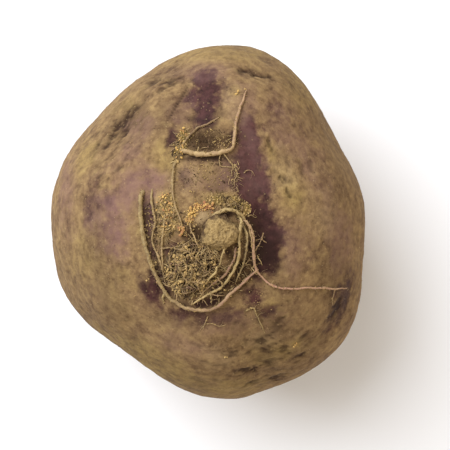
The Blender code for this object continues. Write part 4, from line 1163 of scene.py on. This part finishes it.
class BEET_OT_leaf_stalks(bpy.types.Operator):
    """Builds the cut leaf stalks of the crown"""

    bl_idname = "beet.leaf_stalks"
    bl_label = "Leaf Stalks"

    sides = 30
    rings = 14
    cap_rings = 5
    shortest = 1.8 * MM  # how far above the floor the highest cut is
    slant = 0.16
    bevel = math.radians(50.0)
    withered = 150
    withered_steps = 8
    withered_ring = (15.5 * MM, 20.5 * MM)
    withered_lengths = (1.5 * MM, 8.0 * MM, 1.4)
    withered_radii = (0.15 * MM, 0.55 * MM)
    withered_clearance = 0.4 * MM  # above the floor

    def leaf_bases(self, tree, draw, look):
        """Withered bases of older leaves, which hang from the skin round the outer stalks."""
        heap = Heap()
        steps = self.withered_steps
        for _ in range(self.withered):
            outward = turned(draw.uniform(0.0, math.tau))
            start = tree.ray_cast(outward * draw.uniform(*self.withered_ring), UP)[0]
            spread = draw.uniform(-0.1, 0.7)
            sway = Vector((draw.gauss(0, 0.3), draw.gauss(0, 0.3), 0.0))
            length = skewed(draw, *self.withered_lengths)
            points = []
            for place in range(steps):
                share = place / (steps - 1)
                fall = (outward * spread * (1.0 - 0.5 * share) + sway * share - UP) * share
                point = start + UP * (0.5 * MM) + fall * length
                point.z = max(point.z, self.withered_clearance + 0.05 * MM * share)
                points.append(point)
            thick = draw.uniform(*self.withered_radii)
            radii = [thick * (1.0 - 0.7 * place / steps) for place in range(steps)]
            heap.add(
                *tube(points, radii, 6, 0.5, draw), tint=draw.triangular(-0.2, 0.9, 0.3),
                red=draw.uniform(0, 0.4))
        heap.make(
            "withered_leaf_bases", bark_material("withered_leaf_base", look, 1.2, 0.85), "skin")

    def stalk(self, heap, draw, middle, turn, lean, sizes):
        """One stalk: ribbed sides down to the cut, then the cut face."""
        cut_level = self.shortest * max(0.0, draw.uniform(-0.7, 1.0))
        tip = Vector((draw.uniform(-1.0, 1.0), draw.uniform(-1.0, 1.0), 0.0)) * self.slant
        own_tint = draw.uniform(-0.28, 0.25)
        groove = draw.uniform(0.10, 0.26)
        facing = draw.uniform(-0.6, 0.6)
        half = UP * ((STALK_TOP + STALK_OVERCUT) / 2)
        leaned = Matrix.Rotation(-math.radians(lean), 4, "Y")
        placed = Matrix.Rotation(turn, 4, "Z") @ Matrix.Translation(middle) @ leaned
        start = draw.uniform(0.0, 50.0)
        vertices, tint = [], []
        for ring in range(self.rings):
            share = ring / (self.rings - 1)
            for side in range(self.sides):
                angle = math.tau * side / self.sides
                x, y = math.cos(angle), math.sin(angle)
                # Leaf stalks are hollowed on the side that faces the middle of the crown
                ribs = 1.0 + 0.05 * math.cos(7 * angle + start)
                aside = math.cos((angle - math.pi - facing) / 2) - 1.0
                ribs -= groove * math.exp(-(aside / 0.12) ** 2)
                ribs += 0.10 * noise.noise(Vector((x * 1.5 + start, y * 1.5, share)))
                edge = Vector((x * sizes[0], y * sizes[1], 0.0)) * 0.5 * ribs
                top = placed @ (edge * STALK_FLARE + half)
                foot = placed @ (edge - half)
                level = max(0.0, cut_level + tip.dot(foot - placed @ -half))
                foot = top + (foot - top) * ((top.z - level) / (top.z - foot.z))
                vertices.append(top.lerp(foot, share))
                fleck = noise.noise(Vector((x * 4 + start, y * 4, share * 2)))
                tint.append(0.40 + own_tint + 0.5 * fleck + 0.25 * (share - 0.5))
        cut = [0.0] * len(vertices)
        rim = vertices[-self.sides:]
        centre = sum(rim, Vector()) / self.sides
        for ring in range(1, self.cap_rings + 1):
            share = ring / (self.cap_rings + 0.5)
            for corner in rim:
                spot = corner.lerp(centre, share)
                rough = texture(spot, 0.9) * 0.5 + 0.5
                vertices.append(spot + UP * (0.45 * MM * rough * smooth_step(0.0, 0.4, share)))
                tint.append(0.35 + 0.5 * rough)
        vertices.append(centre + UP * (0.2 * MM))
        tint.append(0.6)
        cut += [1.0] * (len(vertices) - len(cut))
        rings = self.rings + self.cap_rings
        faces = [
            (after, here, foot_here, foot_after)
            for ring in range(rings - 1)
            for here, after, foot_after, foot_here in band(ring * self.sides, self.sides)]
        last = (rings - 1) * self.sides
        for side in range(self.sides):
            faces.append((last + (side + 1) % self.sides, last + side, len(vertices) - 1))
        faces.append(tuple(range(self.sides)))
        heap.add(vertices, faces, cut=cut, tint=tint)

    def execute(self, context):
        draw = random.Random(SEED)
        own = random.Random(SEED + 5)
        heap = Heap()
        self.leaf_bases(skin_tree(), random.Random(SEED + 8), context.scene.beet_roots)
        for ring, (count, distance, width, thickness, lean) in enumerate(CROWN_RINGS):
            for place in range(count):
                turn = math.tau * (place + RING_STAGGER * ring) / count
                turn += draw.uniform(-STALK_SWAY, STALK_SWAY)
                size = draw.uniform(*STALK_SIZES)
                middle = Vector((distance, 0.0, (STALK_TOP - STALK_OVERCUT) / 2))
                self.stalk(heap, own, middle, turn, lean, (thickness * size, width * size))
        stalks = heap.make("cut_leaf_stalks", stalk_material(), "skin", "beetroot")
        stalks.data.set_sharp_from_angle(angle=self.bevel)
        return {"FINISHED"}


class BEET_OT_soil_cake(bpy.types.Operator):
    """Builds the cake of dried soil beside the taproot"""

    bl_idname = "beet.soil_cake"
    bl_label = "Soil Cake"

    segments = 150
    rings = 60

    def execute(self, context):
        look = context.scene.beet_soil
        tree = skin_tree()
        shape = ball(self.segments, self.rings)
        tints = []
        for vertex in shape.verts:
            angle = math.atan2(vertex.co.y, vertex.co.x)
            ragged = 1.0 + 0.10 * noise.noise(turned(angle) * 3)
            radius = CAKE_RADIUS * lobed(angle, CAKE_LOBES) * ragged
            point, normal = below(tree, *(CAKE_PLAN + vertex.co.xy * radius))
            swell = max(0.0, vertex.co.z) ** 0.7
            coarse = texture(point, 2.4)
            middling = texture(point, 1.1, (0.0, 7.0, 0.0))
            fine = texture(point, 0.5)
            uneven = max(0.15, 0.8 + 1.2 * coarse + 0.8 * middling + 0.25 * fine)
            vertex.co = point + normal * (0.05 * MM + CAKE_THICKNESS * swell * uneven)
            # The tint follows the thickness: painted shade in the thin hollows, painted light on the
            # swells
            tints.append(0.05 + 0.45 * (coarse + middling) + 0.25 * fine)
        caked = soil_material("caked_garden_soil", look.soil_dark, look.soil_light, 0.6, 0.95)
        mesh = worked_mesh("soil_cake", shape)
        make_piece(mesh, caked, {"tint": tints}, "soil", "dried_soil")
        return {"FINISHED"}


class BEET_OT_crumbs(bpy.types.Operator):
    """Strews crumbs of soil among the side roots"""

    bl_idname = "beet.crumbs"
    bl_label = "Soil Crumbs"

    sizes = (0.08 * MM, 0.48 * MM, 2)
    highest = 0.6 * MM  # how far a crumb lies above those below it
    crowding = 0.6

    def execute(self, context):
        look = context.scene.beet_soil
        tree = skin_tree()
        draw = random.Random(SEED + 2)
        form = crumb_form()
        heap = Heap()
        for *bed, share, paler, larger in CRUMB_BEDS:
            for _ in range(round(look.crumbs * share)):
                plan = bed_place(draw, *bed, self.crowding)
                point, normal = below(tree, *plan)
                radius = larger * skewed(draw, *self.sizes)
                lift = cake_height(plan) * draw.uniform(0.8, 1.2) + radius * 0.4
                lift += skewed(draw, 0.0, self.highest, 3)
                clump = 1.3 * texture(point, *CLUMPS)
                heap.add(
                    *crumb(draw, form, point + normal * lift, normal, radius, 0.75),
                    tint=0.8 * draw.betavariate(1.2, 1.3) + 0.05 + clump + paler)
        soil = soil_material("crumbled_garden_soil", look.soil_dark, look.soil_light, 0.7, 0.95)
        heap.make("soil_crumbs", soil, "soil", smooth=False)
        return {"FINISHED"}


class BEET_OT_grains(bpy.types.Operator):
    """Sticks fine grains of soil to the whole skin"""

    bl_idname = "beet.grains"
    bl_label = "Soil Grains"

    sizes = (0.06 * MM, 0.22 * MM, 4)
    patch_size = 7.0  # the higher, the smaller the areas with and without grains
    rubbed_off = 0.8  # share of the grains that bare skin has lost

    def execute(self, context):
        look = context.scene.beet_soil
        tree = skin_tree()
        draw = random.Random(SEED + 3)
        form = crumb_form()
        heap = Heap()
        places = []
        while len(places) < look.grains:
            way = random_way(draw, 0.25, 1)
            if noise.noise(way * self.patch_size) + draw.uniform(-0.5, 0.5) >= -0.1:
                places.append(towards(tree, way))
        plan = np.array([point[:] for point, _ in places]) / MM
        on_bare = patch_amount("bare", plan[:, 0], plan[:, 1], np.zeros(len(places)))
        for (point, normal), bareness in zip(places, on_bare):
            radius = skewed(draw, *self.sizes)
            if point.z > WIDEST_LEVEL and draw.random() < self.rubbed_off * bareness:
                continue
            heap.add(
                *crumb(draw, form, point + normal * radius * 0.15, normal, radius, 0.6),
                tint=skewed(draw, 0.25, 1.0, 4))
        grain = soil_material("fine_soil_grain", linear("#5d4930"), linear("#b09a72"), 0.9, 0.95)
        heap.make("soil_grains", grain, "soil", smooth=False)
        return {"FINISHED"}


class BEET_OT_fibre_mat(bpy.types.Operator):
    """Tangles dead fibres over the soil beside the taproot"""

    bl_idname = "beet.fibre_mat"
    bl_label = "Fibre Mat"

    steps = 9
    lengths = (0.9 * MM, 5.4 * MM, 1.4)
    highest = 1.2 * MM
    radii = (0.06 * MM, 0.20 * MM, 1.8)
    crowding = 0.55
    curl = 0.22

    def execute(self, context):
        look, roots = context.scene.beet_soil, context.scene.beet_roots
        tree = skin_tree()
        draw = random.Random(SEED + 4)
        heap = Heap()
        for *bed, share, longer in FIBRE_BEDS:
            for _ in range(round(look.fibres * share)):
                plan = Vector(bed_place(draw, *bed, self.crowding))
                heading = draw.uniform(0.0, math.tau)
                length = skewed(draw, *self.lengths) * longer
                arch = draw.uniform(0.0, self.highest) * longer
                points = []
                for place in range(self.steps):
                    rise = math.sin(math.pi * place / (self.steps - 1))
                    point, normal = below(tree, *plan)
                    lift = cake_height(plan) * 0.85 + arch * rise + 0.05 * MM
                    points.append(point + normal * lift)
                    heading += draw.uniform(-self.curl, self.curl)
                    plan += turned(heading).xy * length / self.steps
                thick = skewed(draw, *self.radii)
                radii = [thick * between(1.0, 0.6, n / self.steps) for n in range(self.steps)]
                clump = 1.1 * texture(points[self.steps // 2], *CLUMPS)
                tint = draw.triangular(0.1, 1.3, 0.75) + clump
                heap.add(*tube(points, radii, 5), tint=tint, red=draw.uniform(0, 0.3))
        heap.make("fibre_mat", bark_material("dead_root_fibre", roots, 0.8, 0.85), "soil")
        return {"FINISHED"}


class BEET_OT_scraps(bpy.types.Operator):
    """Lays torn bits of withered leaf between the roots"""

    bl_idname = "beet.scraps"
    bl_label = "Leaf Scraps"

    sizes = (0.14 * MM, 0.52 * MM)
    lifts = (0.2 * MM, 0.9 * MM)

    def execute(self, context):
        tree = skin_tree()
        draw = random.Random(SEED + 6)
        form = crumb_form()
        heap = Heap()
        for x, y, spread, count, red in SCRAPS:
            for _ in range(count):
                plan_x = MM * (x + draw.gauss(0, 0.5) * spread)
                plan_y = MM * (y + draw.gauss(0, 0.5) * spread)
                point, normal = below(tree, plan_x, plan_y)
                radius = draw.uniform(*self.sizes)
                lift = draw.uniform(*self.lifts)
                lean = Vector((draw.gauss(0, 0.5), draw.gauss(0, 0.5), 0.0))
                tilt = (normal + lean).normalized()
                heap.add(
                    *crumb(draw, form, point + normal * lift, tilt, radius, 0.4),
                    tint=red + draw.uniform(-0.5, 0.5))
        leaf = soil_material("withered_leaf", linear("#c8a35c"), linear("#9e6a46"), 0.8, 0.8)
        heap.make("leaf_scraps", leaf, "soil", smooth=False)
        return {"FINISHED"}


class BEET_OT_moss(bpy.types.Operator):
    """Sets tufts of dry yellow-green moss on the skin"""

    bl_idname = "beet.moss"
    bl_label = "Dry Moss"

    steps = 6
    lengths = (0.7 * MM, 1.8 * MM)
    lifts = (0.2 * MM, 0.9 * MM)
    radii = (0.06 * MM, 0.12 * MM)
    curl = 0.5

    def execute(self, context):
        tree = skin_tree()
        draw = random.Random(SEED + 7)
        heap = Heap()
        for x, y, radius, leaves in MOSS:
            for _ in range(leaves):
                bearing = draw.uniform(0.0, math.tau)
                reach = radius * math.sqrt(draw.random())
                plan = MM * (x + reach * math.cos(bearing)), MM * (y + reach * math.sin(bearing))
                heading = draw.uniform(0.0, math.tau)
                length = draw.uniform(*self.lengths)
                lift = draw.uniform(*self.lifts)
                path = hair_path(
                    draw, tree, *plan, heading, length, lift, self.steps, self.curl)
                radii = [
                    draw.uniform(*self.radii) * (1.0 - 0.5 * step / (self.steps - 1))
                    for step in range(len(path))]
                heap.add(*tube(path, radii, 5), tint=draw.triangular(0.0, 1.0, 0.5))
        moss = soil_material("dry_moss", linear("#66502a"), linear("#b49a50"), 0.8, 0.85)
        heap.make("dry_moss", moss, "soil")
        return {"FINISHED"}


def aimed_light(name, place, size, power, colour):
    """A square softbox that faces the beetroot."""
    lamp = bpy.data.lights.new(name, "AREA")
    lamp.shape = "SQUARE"
    lamp.size = size
    lamp.energy = power
    lamp.color = colour
    made = in_scene(name, lamp)
    made.location = place
    made.rotation_euler = (CORE - Vector(place)).to_track_quat("-Z", "Y").to_euler()


class BEET_OT_stage(bpy.types.Operator):
    """Sets the floor, the light and the camera"""

    bl_idname = "beet.stage"
    bl_label = "Studio"

    floor_side = 8.0
    key_place = (-0.72, 0.62, 1.05)
    fill_place = (0.9, -0.5, 0.9)
    lamp_size = 1.2

    def execute(self, context):
        scene = context.scene
        look = scene.beet_stage
        shape = bmesh.new()
        bmesh.ops.create_grid(shape, x_segments=1, y_segments=1, size=self.floor_side / 2)
        mesh = worked_mesh("floor", shape)
        mesh.materials.append(floor_material(look))
        floor = in_scene("floor", mesh)
        size = self.lamp_size
        aimed_light("softbox", self.key_place, size, look.key_power, linear("#f4f8ff"))
        aimed_light("fill", self.fill_place, size, look.fill_power, linear("#fff1df"))
        world = bpy.data.worlds.new("studio_surround")
        world.use_nodes = True
        surround = world.node_tree.nodes["Background"]
        plug(surround, {"Color": opaque(linear("#fff2e0")), "Strength": look.sky})
        scene.world = world
        scene.view_settings.view_transform = "Standard"

        lens = bpy.data.cameras.new("camera")
        view_width = PHOTO_SIDE / PHOTO_SCALE * MM
        lens.sensor_width = SENSOR_WIDTH
        lens.lens = SENSOR_WIDTH * CAMERA_HEIGHT / view_width
        lens.shift_x = (PHOTO_SIDE / 2 - PHOTO_AXIS_X) / PHOTO_SIDE
        camera = in_scene("camera", lens)
        camera.location = CORE + UP * CAMERA_HEIGHT
        scene.camera = camera
        return {"FINISHED"}


OPERATORS = (
    BEET_OT_swollen_root,
    BEET_OT_taproot,
    BEET_OT_side_roots,
    BEET_OT_root_hairs,
    BEET_OT_leaf_stalks,
    BEET_OT_soil_cake,
    BEET_OT_crumbs,
    BEET_OT_grains,
    BEET_OT_fibre_mat,
    BEET_OT_scraps,
    BEET_OT_moss,
    BEET_OT_stage,
)
SETTINGS = {
    "beet_skin": BeetSkinSettings,
    "beet_roots": BeetRootSettings,
    "beet_soil": BeetSoilSettings,
    "beet_stage": BeetStageSettings,
}


class BEET_PT_sidebar(bpy.types.Panel):
    """Settings and steps of the beetroot, in the 3D view's sidebar"""

    bl_idname = "BEET_PT_sidebar"
    bl_label = "Beetroot"
    bl_space_type = "VIEW_3D"
    bl_region_type = "UI"
    bl_category = "Beetroot"

    def draw(self, context):
        for name, group in SETTINGS.items():
            box = self.layout.box()
            for setting in group.__annotations__:
                box.prop(getattr(context.scene, name), setting)
        for step in OPERATORS:
            self.layout.operator(step.bl_idname)


CLASSES = (*SETTINGS.values(), *OPERATORS, BEET_PT_sidebar)


def register():
    for made in CLASSES:
        bpy.utils.register_class(made)
    for name, group in SETTINGS.items():
        setattr(bpy.types.Scene, name, bpy.props.PointerProperty(type=group))


def unregister():
    for name in SETTINGS:
        delattr(bpy.types.Scene, name)
    for made in reversed(CLASSES):
        bpy.utils.unregister_class(made)


def main():
    register()
    noise.seed_set(SEED)
    for step in OPERATORS:
        group, name = step.bl_idname.split(".")
        getattr(getattr(bpy.ops, group), name)()


if __name__ == "__main__":
    main()
